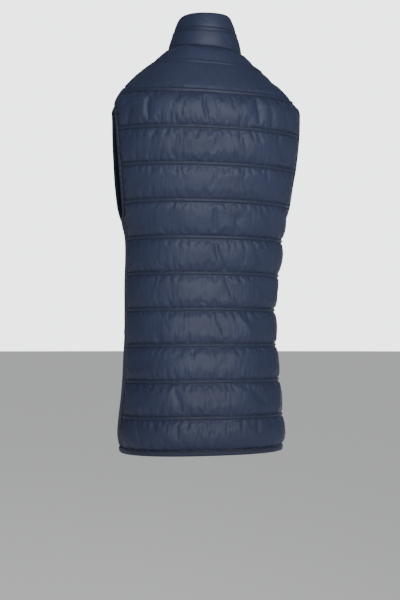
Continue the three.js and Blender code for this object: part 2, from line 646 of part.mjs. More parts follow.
// A profile in depth and height, as wide as twice `half` and centred on the zip.
function profile(corners, half) {
  const shape = new THREE.Shape(corners.map(([depth, height]) => new THREE.Vector2(depth, height)));
  const geometry = new THREE.ExtrudeGeometry(shape, { depth: 2 * half, bevelEnabled: false });
  geometry.translate(0, 0, -half);
  geometry.applyMatrix4(new THREE.Matrix4().set(0, 0, 1, 0, 1, 0, 0, 0, 0, 1, 0, 0, 0, 0, 0, 1));
  return geometry.translate(chainTop.x, 0, 0);
}

function asManifold(geometry) {
  const bare = geometry.clone();
  bare.deleteAttribute('normal');
  bare.deleteAttribute('uv');
  const merged = mergeVertices(bare, 1e-4);
  const mesh = new wasm.Mesh({
    numProp: 3,
    vertProperties: new Float32Array(merged.attributes.position.array),
    triVerts: new Uint32Array(merged.index.array),
  });
  return new wasm.Manifold(mesh);
}

function asGeometry(manifold) {
  const mesh = manifold.getMesh();
  const geometry = new THREE.BufferGeometry();
  geometry.setAttribute('position', new THREE.BufferAttribute(mesh.vertProperties, 3));
  geometry.setIndex(new THREE.BufferAttribute(mesh.triVerts, 1));
  geometry.computeVertexNormals();
  return geometry;
}

function zipSlider() {
  const top = chainTop.z + SLIDER.over;
  const web = chainTop.z + GAP;
  const low = top - SLIDER.long;
  const backIn = chainTop.y + GAP;
  const backOut = backIn + 1.2;
  const clamp_ = profile([
    [PLATE_OUT, low], [PLATE_IN, low], [PLATE_IN, web], [backIn, web], [backIn, low + 3],
    [backOut, low + 3], [backOut, top], [PLATE_OUT, top],
  ], SLIDER.half);
  const [foot, head] = [PIVOT.z - SLIDER.bridgeLong / 2, PIVOT.z + SLIDER.bridgeLong / 2];
  const leg = 1.3;
  const out = PLATE_OUT - SLIDER.bridgeOut;
  const bridge = profile([
    [PLATE_OUT + 0.5, foot], [out + 1, foot], [out, foot + 1], [out, head - 1], [out + 1, head],
    [PLATE_OUT + 0.5, head], [PLATE_OUT + 0.5, head - leg], [out + leg, head - leg],
    [out + leg, foot + leg], [PLATE_OUT + 0.5, foot + leg],
  ], SLIDER.bridgeHalf);
  return asGeometry(asManifold(clamp_).add(asManifold(bridge)));
}

function zipPull() {
  const [w, top, bottom] = [PULL.half, PULL.bar / 2, PULL.bar / 2 - PULL.long];
  const outline = new THREE.Shape();
  outline.moveTo(-w + 0.8, top);
  outline.lineTo(w - 0.8, top);
  outline.lineTo(w - 0.3, top - 6);
  outline.lineTo(w, bottom + 3);
  outline.absarc(w - 2, bottom + 2, 2, 0, -Math.PI / 2, true);
  outline.absarc(-w + 2, bottom + 2, 2, -Math.PI / 2, -Math.PI, true);
  outline.lineTo(-w + 0.3, top - 6);
  outline.closePath();
  const hole = new THREE.Path();
  const [side, high, deep] = [PULL.window, -PULL.bar / 2, -PULL.bar / 2 - PULL.windowLong];
  hole.moveTo(-side, high);
  hole.lineTo(-side, deep);
  hole.lineTo(side, deep);
  hole.lineTo(side, high);
  hole.closePath();
  outline.holes.push(hole);
  const geometry = new THREE.ExtrudeGeometry(outline, { depth: PULL.thick, bevelEnabled: false, curveSegments: 4 });
  return geometry.translate(0, 0, -PULL.thick / 2).rotateX(Math.PI / 2).translate(PIVOT.x, PIVOT.y, PIVOT.z);
}

const vest = new THREE.Group();
function add(name, geometry, color, roughness, metalness = 0) {
  const mesh = new THREE.Mesh(geometry, new THREE.MeshStandardMaterial({ color, roughness, metalness }));
  mesh.name = name;
  vest.add(mesh);
}

add('back', backPanel(), COLOUR.shell, 0.45);
for (const [name, side] of [['left', 1], ['right', -1]]) {
  add(`front_${name}`, frontPanel(side), COLOUR.shell, 0.45);
  add(`side_${name}`, sidePanel(side), COLOUR.knit, 0.8);
  add(`armhole_binding_${name}`, armholeBinding(side), COLOUR.binding, 0.7);
  add(`zip_tape_${name}`, zipTape(side), COLOUR.tape, 0.8);
}
add('collar', collar(), COLOUR.shell, 0.45);
add('hem_band', hemBand(), COLOUR.binding, 0.6);
add('zip_teeth', zipTeeth(), COLOUR.metal, 0.4);
add('zip_slider', zipSlider(), COLOUR.metal, 0.35, 1);
add('zip_pull', zipPull(), COLOUR.metal, 0.35, 1);

// The origin lies between the shoulders, where the wearer holds the vest up.
const SHOULDER_HEIGHT = 640;
vest.position.z = -SHOULDER_HEIGHT;

export default vest;
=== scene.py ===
"""Looks of the quilted vest: its sewn pieces, their stitching, the zip and the finishes.

The shapes follow the same named sizes as the vest's CAD source. They are worked out in
millimetres, with heights up from the hem, and turned to metres as each mesh is made.
"""

import math

import bmesh
import bpy
import mathutils
import numpy as np
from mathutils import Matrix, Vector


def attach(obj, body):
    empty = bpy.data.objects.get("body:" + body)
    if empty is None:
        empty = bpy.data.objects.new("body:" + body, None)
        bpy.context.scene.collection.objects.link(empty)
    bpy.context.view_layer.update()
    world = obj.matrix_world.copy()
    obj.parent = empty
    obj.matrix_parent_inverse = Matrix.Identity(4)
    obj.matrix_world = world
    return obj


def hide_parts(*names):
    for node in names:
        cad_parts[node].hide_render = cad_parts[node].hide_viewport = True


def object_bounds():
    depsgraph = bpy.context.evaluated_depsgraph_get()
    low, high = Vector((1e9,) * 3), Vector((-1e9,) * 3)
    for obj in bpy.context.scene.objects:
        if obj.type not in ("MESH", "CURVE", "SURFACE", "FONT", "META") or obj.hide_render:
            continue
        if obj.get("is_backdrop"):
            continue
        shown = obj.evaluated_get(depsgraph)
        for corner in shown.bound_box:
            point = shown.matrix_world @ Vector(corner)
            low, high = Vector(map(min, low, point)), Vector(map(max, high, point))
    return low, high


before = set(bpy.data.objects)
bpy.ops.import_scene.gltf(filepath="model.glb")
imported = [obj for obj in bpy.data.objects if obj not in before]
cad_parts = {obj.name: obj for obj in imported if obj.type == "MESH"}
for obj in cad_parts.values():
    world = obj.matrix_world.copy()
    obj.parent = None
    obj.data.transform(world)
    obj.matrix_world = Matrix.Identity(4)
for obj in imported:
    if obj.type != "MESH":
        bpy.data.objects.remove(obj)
cad_box = [list(corner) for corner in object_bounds()]

SHOULDER_HEIGHT = 640  # the origin's height above the hem
GARMENT = "garment"
PULL_TAB = "pull"


# ---------------------------------------------------------------- the vest's form

# Inside of the cloth: height, reach to the left, right, back and front, lean and tilt.
SECTIONS = np.array([
    (0, 138, 141, 126, 122, 0, -0.018),
    (30, 143.5, 143.5, 128, 122, 0, -0.016),
    (60, 141.5, 141.5, 128, 122, 0, -0.014),
    (95, 137, 137, 126, 122, 0, -0.011),
    (150, 133.5, 133.5, 121, 121, 0, -0.007),
    (230, 131, 127, 111, 120, 0, 0),
    (300, 130.5, 134, 109, 122, 0, 0.006),
    (345, 130.5, 138.5, 111, 126, -1, 0.01),
    (374, 132, 140, 115, 130, -1.5, 0.012),
    (406, 138, 144, 120, 135, -2, 0.015),
    (434, 149, 152, 126, 139, -3, 0.018),
    (470, 158, 158, 131, 142, -4, 0.021),
    (503, 163, 163, 135, 142, -5, 0.024),
    (557, 167, 167, 138, 138, -6, 0.029),
    (600, 166, 166, 135, 128, -7, 0.035),
    (710, 160, 160, 124, 96, -11.5, 0.09),
])
SQUARE = 2.35
YOKE = 600
NECK_BACK, NECK_FRONT = 707, 632
NECK_RING = {"half": 63.5, "back": 74, "front": 74, "middle": -12, "lean": -9}
COLLAR_RING = {"half": 42, "back": 66, "front": 66, "middle": -20, "lean": -10.5}
COLLAR_TALL, COLLAR_TILT, COLLAR_BOW = 62, 0.02, 3
SHOULDER_SLOPE = 1.3
ARMHOLE_BOTTOM, ARMHOLE_TOP, ARMHOLE_MIDDLE = 404, 632, -4
ARMHOLE_BACK, ARMHOLE_FRONT, ARMHOLE_SQUARE = 66, 72, 2.5
ARM_RISE = (ARMHOLE_TOP - ARMHOLE_BOTTOM) / 2
ARM_MIDDLE = (ARMHOLE_TOP + ARMHOLE_BOTTOM) / 2
SIDE_MIDDLE = -11
SIDE_HALF = np.array([(0, 41), (120, 34), (260, 30), (410, 34)])

HEM_BAND = 10
FIRST_LINE = 64.2
PITCH = 61.6
LEVEL_LINES = 9
UPPER_PITCH = 55.2
BACK_TOP = LEVEL_LINES + (NECK_BACK - FIRST_LINE - PITCH * LEVEL_LINES) / UPPER_PITCH
HALF_STITCH = 3 / PITCH
CLOTH = 2.4
LOFT = 3.7
PIPE = 2.6
GAP = 0.3
ZIP_HALF = 7.5
BINDING = 6.6


def smooth(x, low=0.0, high=1.0):
    t = np.clip((x - low) / (high - low), 0, 1)
    return t * t * (3 - 2 * t)


def mix(a, b, share):
    return a + (b - a) * share


def along(table, column, height):
    """A smooth curve through one column of a table."""
    at, value = table[:, 0], table[:, column]
    count = len(table)
    before, after = np.maximum(np.arange(count) - 1, 0), np.minimum(np.arange(count) + 1, count - 1)
    slope = (value[after] - value[before]) / (at[after] - at[before])
    i = np.clip(np.searchsorted(at, height, side="right") - 1, 0, count - 2)
    span = at[i + 1] - at[i]
    t = np.clip((height - at[i]) / span, 0, 1)
    return (
        value[i] * (1 + 2 * t) * (1 - t) ** 2
        + value[i + 1] * t * t * (3 - 2 * t)
        + span * t * (1 - t) * (slope[i] * (1 - t) - slope[i + 1] * t)
    )


def ring(angle, half, back, front, middle, lean):
    """Across and depth of a ring in a direction: 0 is the back, a right angle the left."""
    s, c = np.sin(angle), np.cos(angle)
    depth = np.where(c > 0, back, front)
    reach = (np.abs(s / half) ** SQUARE + np.abs(c / depth) ** SQUARE) ** (-1 / SQUARE)
    return np.stack([lean + reach * s, middle + reach * c], axis=-1)


def neck_height(angle):
    return NECK_BACK - (NECK_BACK - NECK_FRONT) * ((1 - np.cos(angle)) / 2) ** 3.2


def yoke_share(angle, height):
    return np.clip((height - YOKE) / (neck_height(angle) - YOKE), 0, 1)


def body_point(angle, height):
    left, right, back, front, lean, tilt = (along(SECTIONS, k, height) for k in range(1, 7))
    half = np.where(np.sin(angle) > 0, left, right)
    share = yoke_share(angle, height)[..., None] ** SHOULDER_SLOPE
    flat = mix(ring(angle, half, back, front, 0, lean), ring(angle, **NECK_RING), share)
    return np.concatenate([flat, (height + tilt * flat[..., 0])[..., None]], axis=-1)


def collar_point(angle, share):
    top = ring(angle, **COLLAR_RING)
    drop = (NECK_BACK - NECK_FRONT) * np.minimum(np.cos(angle), 0) ** 2
    high = NECK_BACK - drop + COLLAR_TALL + COLLAR_TILT * top[..., 0]
    rim = np.concatenate([top, high[..., None]], axis=-1)
    point = mix(body_point(angle, neck_height(angle)), rim, share[..., None])
    bow = COLLAR_BOW * np.sin(np.pi * share) * (0.5 + 0.5 * np.cos(angle))
    return point + bow[..., None] * np.stack([np.sin(angle), np.cos(angle), 0 * angle], axis=-1)


def unit(vector):
    return vector / np.linalg.norm(vector, axis=-1, keepdims=True)


def outward(surface, angle, up, step):
    around = surface(angle + 0.01, up) - surface(angle - 0.01, up)
    rise = surface(angle, up + step) - surface(angle, up - step)
    return unit(np.cross(rise, around))


def neck_outward(angle):
    below = outward(body_point, angle, neck_height(angle) - 3, 1.5)
    return unit(below + outward(collar_point, angle, 0.05 + 0 * angle, 0.04))


def body_sheet(angle, height):
    """Points and outward directions of the body's cloth."""
    top = neck_height(angle)
    normal = outward(body_point, angle, np.minimum(height, top - 2), 1.5)
    turned = smooth(yoke_share(angle, height), 0.93, 1)[..., None]
    return body_point(angle, np.minimum(height, top)), unit(mix(normal, neck_outward(angle), turned))


def collar_sheet(angle, share):
    normal = outward(collar_point, angle, np.clip(share, 0.05, 0.95), 0.04)
    turned = smooth(1 - share, 0.9, 1)[..., None]
    return collar_point(angle, share), unit(mix(normal, neck_outward(angle), turned))


def halve(low, high, above):
    """Closes in on the place where `above` turns false, for whole arrays at once."""
    for _ in range(30):
        middle = (low + high) / 2
        low, high = np.where(above(middle), middle, low), np.where(above(middle), high, middle)
    return (low + high) / 2


def angle_at_depth(depth, height):
    low, high = 0.02 + 0 * (depth + height), math.pi - 0.02 + 0 * (depth + height)
    return halve(low, high, lambda angle: body_point(angle, height + 0 * angle)[..., 1] > depth)


def zip_edge(surface, up):
    middle = surface(math.pi + 0 * up, up)[..., 0]
    return halve(math.pi - 0.3 + 0 * up, math.pi + 0 * up,
                 lambda angle: surface(angle, up)[..., 0] - middle > ZIP_HALF)


def armhole_depth(height, side):
    reach = ARMHOLE_BACK if side > 0 else ARMHOLE_FRONT
    share = np.clip(np.abs(height - ARM_MIDDLE) / ARM_RISE, 0, 1)
    return ARMHOLE_MIDDLE + side * reach * (1 - share ** ARMHOLE_SQUARE) ** (1 / ARMHOLE_SQUARE)


def armhole_place(turn):
    s, c = np.sin(turn), np.cos(turn)
    wide = np.where(c > 0, ARMHOLE_BACK, ARMHOLE_FRONT)
    power = ARMHOLE_SQUARE
    reach = (np.abs(c / wide) ** power + np.abs(s / ARM_RISE) ** power) ** (-1 / power)
    return ARMHOLE_MIDDLE + reach * c, ARM_MIDDLE + reach * s


def side_seam_depth(height, side):
    return SIDE_MIDDLE + side * along(SIDE_HALF, 1, height)


def underarm(depth):
    reach = np.where(depth > ARMHOLE_MIDDLE, ARMHOLE_BACK, ARMHOLE_FRONT)
    share = np.abs(depth - ARMHOLE_MIDDLE) / reach
    return ARM_MIDDLE - ARM_RISE * (1 - share ** ARMHOLE_SQUARE) ** (1 / ARMHOLE_SQUARE)


def underarm_corner(side):
    beyond = lambda height: side * (armhole_depth(height, side) - side_seam_depth(height, side)) < 0
    return float(halve(np.array(float(ARMHOLE_BOTTOM)), np.array(ARM_MIDDLE), beyond))


CORNER_BACK, CORNER_FRONT = underarm_corner(1), underarm_corner(-1)


def height_of(line):
    return FIRST_LINE + PITCH * np.minimum(line, LEVEL_LINES) + UPPER_PITCH * np.maximum(line - LEVEL_LINES, 0)


def line_of(height):
    return (height - FIRST_LINE) / PITCH


SHOULDER_END = float(height_of(LEVEL_LINES - HALF_STITCH))
SEAM_START = float(angle_at_depth(armhole_depth(SHOULDER_END, 1), np.array(SHOULDER_END)))


def seam_angle(height):
    share = np.clip((height - SHOULDER_END) / (NECK_BACK - SHOULDER_END), 0, 1)
    return SEAM_START - np.radians(7 * share + 30 * share ** 5)


# ---------------------------------------------------------------- the panels' own rows

def quilt_rows(low, high, between, corner=None):
    """Line numbers of a panel's rows: three on each stitched line and some between."""
    rows = [low, high]
    for line in range(math.floor(low), math.ceil(high) + 1):
        rows += [line]
        rows += list(np.linspace(line + HALF_STITCH, line + 1 - HALF_STITCH, between + 1))
    rows = np.unique(np.round([row for row in rows if low <= row <= high], 6))
    least = 0.35 / between
    keep = [rows[0]] + [b for a, b in zip(rows, rows[1:]) if b - a > least * 0.5]
    rows = np.array(keep)
    if corner is not None:
        rows[np.argmin(np.abs(rows - corner))] = corner
    return rows


def back_places():
    rows = quilt_rows(line_of(HEM_BAND + GAP), BACK_TOP, 13, line_of(CORNER_BACK))
    height = height_of(rows)
    half = np.where(
        height < CORNER_BACK,
        angle_at_depth(side_seam_depth(height, 1) + GAP / 2, height),
        np.where(
            height < SHOULDER_END,
            angle_at_depth(armhole_depth(height, 1), height),
            seam_angle(height) - GAP / 180,
        ),
    )
    share = np.linspace(-1, 1, 101)
    return rows, half[:, None] * share, height[:, None] + 0 * share


FAN_FROM, FAN_TO, FAN_ZIP = LEVEL_LINES + HALF_STITCH, 11, 0.07
FAN_INNER, FAN_OUTER = 0.41, 0.64


def fan_share(line, at_line):
    first = at_line * (line - FAN_FROM) / (LEVEL_LINES + 1 - FAN_FROM)
    second = mix(at_line, 1, (line - LEVEL_LINES - 1) / (FAN_TO - LEVEL_LINES - 1))
    return np.where(line < LEVEL_LINES + 1, first, second)


def fan_inner(share):
    up_zip = mix(height_of(FAN_FROM), NECK_FRONT, np.minimum(share / FAN_ZIP, 1))
    neck_corner = zip_edge(body_point, np.array(float(NECK_FRONT)))
    round_neck = mix(neck_corner, seam_angle(np.array(float(NECK_BACK))), (share - FAN_ZIP) / (1 - FAN_ZIP))
    angle = np.where(share < FAN_ZIP, zip_edge(body_point, up_zip), round_neck)
    level = np.where(share < FAN_ZIP, yoke_share(math.pi + 0 * share, up_zip), 1.0)
    return angle, level


def fan_outer(share):
    height = float(height_of(FAN_FROM))
    front = math.atan2(height - ARM_MIDDLE, armhole_depth(height, -1) - ARMHOLE_MIDDLE)
    back = math.atan2(SHOULDER_END - ARM_MIDDLE, armhole_depth(SHOULDER_END, 1) - ARMHOLE_MIDDLE)
    depth, height = armhole_place(mix(front, back, share))
    angle = angle_at_depth(depth, height)
    return angle, yoke_share(angle, height)


def fan_places(line, share):
    """Rows of the left front above its last level line, which swing over the shoulder."""
    inner, inner_level = fan_inner(fan_share(line, FAN_INNER))
    outer, outer_level = fan_outer(fan_share(line, FAN_OUTER))
    seam = mix(NECK_BACK, SHOULDER_END, share)
    bend = ((line - FAN_FROM) / (FAN_TO - FAN_FROM)) ** 2
    ends = [(seam_angle(np.array(float(at))), yoke_share(np.array(0.0), at)) for at in (NECK_BACK, SHOULDER_END)]
    angle = mix(inner, outer, share) + bend * (
        seam_angle(seam) - mix(ends[0][0], ends[1][0], share) + GAP / 180)
    level = mix(inner_level, outer_level, share) + bend * (
        yoke_share(0 * seam, seam) - mix(ends[0][1], ends[1][1], share))
    return angle, mix(YOKE, neck_height(angle), np.clip(level, 0, 1))


def front_places(columns=43):
    share = np.linspace(0, 1, columns)
    level_rows = quilt_rows(line_of(HEM_BAND + GAP), FAN_FROM, 13, line_of(CORNER_FRONT))[:-1]
    height = height_of(level_rows)
    outer = np.where(
        height < CORNER_FRONT,
        angle_at_depth(side_seam_depth(height, -1) - GAP / 2, height),
        angle_at_depth(armhole_depth(height, -1), height),
    )
    inner = zip_edge(body_point, height)
    fan_rows = np.unique(np.concatenate([
        np.linspace(FAN_FROM, 10 - HALF_STITCH, 14), [10.0], np.linspace(10 + HALF_STITCH, FAN_TO, 17)]))
    fan_angle, fan_height = fan_places(fan_rows[:, None] + 0 * share, share + 0 * fan_rows[:, None])
    rows = np.concatenate([level_rows, fan_rows])
    angle = np.concatenate([mix(inner[:, None], outer[:, None], share), fan_angle])
    return rows, angle, np.concatenate([height[:, None] + 0 * share, fan_height])


# ---------------------------------------------------------------- quilting and creases

# Creases of the back as from behind: x, height, to x, to height, depth and width. A crease
# with a negative depth stands up as a ridge.
BACK_CREASES = [
    (128, 598, 138, 562, 2.2, 9),
    (105, 608, 106, 568, 1.8, 8),
    (-76, 606, -81, 562, 2.2, 9),
    (-98, 600, -106, 562, 2.2, 9),
    (-127, 584, -140, 552, 2.4, 9),
    (-113, 538, -132, 503, 2.2, 9),
    (-6, 426, -7, 380, 1.8, 8),
    (-43, 410, -42, 376, 1.8, 8),
    (-80, 414, -99, 376, -2.6, 10),
    (-3, 366, -24, 316, 2.4, 9),
    (-77, 355, -92, 319, 2.0, 9),
    (-24, 302, -55, 256, 3.0, 9),
    (-46, 240, -70, 206, -3.0, 9),
    (-8, 241, -24, 205, 2.2, 9),
    (-29, 168, -6, 136, 2.2, 12),
    (62, 114, 49, 74, 2.4, 9),
    (-66, 116, -97, 84, 2.6, 10),
    (121, 55, 112, 22, 2.0, 8),
]

# Creases of a front, x measured from the zip towards its side.
FRONT_CREASES = [
    (104, 590, 92, 548, 2.2, 9),
    (118, 530, 100, 500, 2.0, 9),
    (96, 418, 60, 380, 2.6, 10),
    (70, 300, 40, 258, 2.2, 9),
    (84, 238, 58, 196, -2.4, 10),
    (40, 112, 58, 74, 2.2, 9),
]


# Creases of the collar, with heights up from the neck seam.
COLLAR_CREASES = [(14, 61, -6, 45, 1.6, 5), (34, 58, 25, 44, 1.2, 5), (-28, 25, -42, 8, 1.1, 5), (6, 24, 14, 6, 0.9, 5)]


def creases(table, x, z):
    total = 0
    for from_x, from_z, to_x, to_z, depth, width in table:
        dx, dz = to_x - from_x, to_z - from_z
        length = math.hypot(dx, dz)
        run = ((x - from_x) * dx + (z - from_z) * dz) / length ** 2
        aside = ((x - from_x) * dz - (z - from_z) * dx) / length
        fade = smooth(run, -0.15, 0.25) * (1 - smooth(run, 0.75, 1.15))
        total = total + depth * fade * np.exp(-np.abs(aside / (0.7 * width)) ** 1.5)
    return total


def noise(seed, x, y, wide, tall):
    """Smooth random waves between -1 and 1, `wide` and `tall` millimetres from one to the next."""
    lattice = np.random.default_rng(seed).uniform(-1, 1, (97, 97))
    u, v = x / wide, y / tall
    i, j = np.floor(u).astype(int), np.floor(v).astype(int)
    s, t = smooth(u - i), smooth(v - j)
    corner = lambda a, b: lattice[(i + a) % 97, (j + b) % 97]
    return mix(mix(corner(0, 0), corner(1, 0), s), mix(corner(0, 1), corner(1, 1), s), t)


def cloth_size(points):
    """Millimetres across and up the cloth of a grid, for its pattern: the middle is zero."""
    across = np.cumsum(np.linalg.norm(np.diff(points, axis=1, prepend=points[:, :1]), axis=-1), axis=1)
    up = np.cumsum(np.linalg.norm(np.diff(points, axis=0, prepend=points[:1]), axis=-1), axis=0)
    return across - across[:, [points.shape[1] // 2]], up


def puckers(seed, rows, across):
    """Small gathers that the stitching draws up, strongest just above each stitched line."""
    row = rows[:, None] + 0 * across
    above, below = (row - np.floor(row)) * PITCH, (np.ceil(row) - row) * PITCH
    channel = np.floor(row)
    lean = 0.35 * noise(seed + 5, across, channel * 40, 60, 40)
    x = across + lean * above + channel * 517
    fine = noise(seed, x, above, 7.5, 34) + 0.5 * noise(seed + 1, x, above, 4.3, 22)
    wide = noise(seed + 2, x, above, 17, 60)
    gathered = 0.45 + 0.55 * (0.5 + 0.5 * noise(seed + 3, across, channel * 30, 45, 30))
    near = np.exp(-np.abs(above - 3) / 17) + 0.35 * np.exp(-np.abs(below - 3) / 12)
    return (0.95 * fine * near + 0.8 * wide * (0.35 + near)) * gathered * level_share(row)


def crinkles(seed, line, across, up):
    """Sharp small creases of the shell: dents that the stitching draws in above each line, thin
    creases that run up a channel, and a fine crumple over all."""
    row = line[:, None] + 0 * across
    above, below = (row - np.floor(row)) * PITCH, (np.ceil(row) - row) * PITCH
    channel = np.floor(row)
    x = across + 0.5 * noise(seed + 2, across, channel * 40, 50, 40) * above + channel * 613
    dent = np.maximum(noise(seed + 3, x, above, 6.2, 30), 0) ** 1.4
    dent = dent * (np.exp(-above / 9) + 0.25 * np.exp(-below / 7))
    thin = np.exp(-(noise(seed + 4, x, above, 21, 80) / 0.15) ** 2)
    thin = thin * smooth(noise(seed + 5, across, above + channel * 77, 30, 26), -0.4, 0.5)
    crumple = 0.2 * noise(seed, across, up, 5.5, 13) + 0.14 * noise(seed + 1, across, up, 2.8, 4.5)
    return crumple - smooth(np.minimum(above, below), 3, 6) * level_share(row) * (1.5 * dent + 0.6 * thin)


def level_share(row):
    """1 on the level channels and little on the yoke, which lies nearly smooth."""
    return 1 - 0.85 * smooth(row, LEVEL_LINES - 0.05, LEVEL_LINES + 0.04)


def gathering(line):
    """How strongly the stitching gathers the cloth, from its line number."""
    above, below = (line - np.floor(line)) * PITCH, (np.ceil(line) - line) * PITCH
    return level_share(line) * (0.18 + np.exp(-above / 12) + 0.3 * np.exp(-below / 9)) * smooth(
        np.minimum(above, below), 1.5, 5)


def grooves(line):
    """1 on the two sewn rows beside each cord, where the cloth is drawn in; the finish darkens the shell's colour there
    as painted shade.
    """
    off = np.abs(line - np.round(line)) - HALF_STITCH
    return np.exp(-(off / 0.022) ** 2) * (1 - 0.7 * smooth(line, LEVEL_LINES + 0.3, LEVEL_LINES + 0.6))


def edge_share(points, reach):
    """From 0 on a panel's edge to 1 where the edge is `reach` millimetres away."""
    near = [np.linalg.norm(points - side, axis=-1) for side in (
        points[:, :1], points[:, -1:], points[:1], points[-1:])]
    return smooth(np.minimum.reduce(near), 0, reach)


def filled(rows, points, crease_table, crease_x, seed):
    """Thickness of a quilted panel, and which of its points the stitching holds."""
    off = np.abs(rows - np.round(rows))[:, None] + 0 * points[..., 0]
    across, up = cloth_size(points)
    edge = edge_share(points, 11)
    pipe = PIPE * (1 - np.minimum(off / HALF_STITCH, 1) ** 4)
    crown = np.sin(np.pi * np.clip((off - HALF_STITCH) / (1 - 2 * HALF_STITCH), 0, 1)) ** 0.5
    faint = smooth(rows, LEVEL_LINES + 0.3, LEVEL_LINES + 0.6)[:, None] * (0.55 + 0.4 * smooth(np.abs(across), 25, 60))
    crown, pipe = np.maximum(crown, faint), pipe * (1 - 0.6 * faint)
    between = smooth(off, HALF_STITCH, 0.11)
    sag = 0.75 + 0.35 * noise(seed + 9, across, up, 70, 48)
    yoke = smooth(rows, LEVEL_LINES + 0.02, LEVEL_LINES + 0.3)[:, None]
    soft = LOFT * crown * sag * (1 - 0.35 * yoke) + between * (
        puckers(seed, rows, across)
        - 1.15 * creases(crease_table, crease_x, points[..., 2])
        + 0.7 * noise(seed + 7, across + 0.5 * up, up, 26, 19)
    )
    held = (off <= HALF_STITCH + 1e-6) | (edge < 0.02)
    return np.maximum(1.2 + 1.0 * edge, CLOTH * (0.6 + 0.4 * edge) + edge * (pipe + soft)), held


# ---------------------------------------------------------------- meshes

def metres(points):
    return (np.asarray(points) - (0, 0, SHOULDER_HEIGHT)) / 1000


def make_mesh(name, points, faces, uv, material):
    """An object of millimetre points, its faces turned outwards and its UV in metres of cloth."""
    where = metres(points)
    mesh = bpy.data.meshes.new(name)
    mesh.from_pydata(where.tolist(), [], faces)
    layer = mesh.uv_layers.new(name="cloth")
    corner = np.empty(len(mesh.loops), dtype=np.int32)
    mesh.loops.foreach_get("vertex_index", corner)
    layer.data.foreach_set("uv", (np.asarray(uv)[corner] / 1000).astype(np.float32).ravel())
    bm = bmesh.new()
    bm.from_mesh(mesh)
    bmesh.ops.recalc_face_normals(bm, faces=bm.faces)
    if bm.calc_volume(signed=True) < 0:
        bmesh.ops.reverse_faces(bm, faces=bm.faces)
    bm.to_mesh(mesh)
    bm.free()
    mesh.shade_smooth()
    mesh.materials.append(material)
    piece = bpy.data.objects.new(name, mesh)
    bpy.context.collection.objects.link(piece)
    return piece


def closed_cloth(name, outer, inner, material, **marks):
    """A closed sheet between two grids; the inner one has every second row and column. Each of
    `marks` is stored for the finish to read: a value for each point of the outer grid."""
    rows, columns = outer.shape[:2]
    step = (rows - 1) // (inner.shape[0] - 1)
    across, up = cloth_size(outer)
    uv = np.stack([across, up], axis=-1)
    number = np.arange(rows * columns).reshape(rows, columns)
    back = rows * columns + np.arange(inner.shape[0] * inner.shape[1]).reshape(inner.shape[:2])

    def quads(grid, flip):
        a, b, c, d = grid[:-1, :-1], grid[:-1, 1:], grid[1:, 1:], grid[1:, :-1]
        order = (a, d, c, b) if flip else (a, b, c, d)
        return np.stack([part.ravel() for part in order], axis=1).tolist()

    faces = quads(number, False) + quads(back, True)
    for fine, coarse, flip in (
        (number[0], back[0], True), (number[-1], back[-1], False),
        (number[:, 0], back[:, 0], False), (number[:, -1], back[:, -1], True),
    ):
        for k in range(len(coarse) - 1):
            strip = [*fine[k * step:(k + 1) * step + 1], coarse[k + 1], coarse[k]]
            strip = [int(v) for v in strip]
            faces.append(strip[::-1] if flip else strip)
    points = np.concatenate([outer.reshape(-1, 3), inner.reshape(-1, 3)])
    piece = make_mesh(name, points, faces, np.concatenate(
        [uv.reshape(-1, 2), uv[::step, ::step].reshape(-1, 2)]), material)
    for mark, share in marks.items():
        held = np.zeros(len(points), dtype=np.float32)
        held[:rows * columns] = (share + 0 * outer[..., 0]).ravel()
        piece.data.attributes.new(mark, "FLOAT", "POINT").data.foreach_set("value", held)
    return piece


def finer(grid):
    """The grid with a point between each two, on a smooth curve through them."""
    for axis in (0, 1):
        g = np.moveaxis(grid, axis, 0)
        before = np.concatenate([2 * g[:1] - g[1:2], g[:-2]])
        after = np.concatenate([g[2:], 2 * g[-1:] - g[-2:-1]])
        middle = (9 * (g[:-1] + g[1:]) - before - after) / 16
        out = np.empty((2 * len(g) - 1, *g.shape[1:]))
        out[::2], out[1::2] = g, middle
        grid = np.moveaxis(out, 0, axis)
    return grid


def grid_normals(grid):
    return unit(np.cross(np.gradient(grid, axis=0), np.gradient(grid, axis=1)))


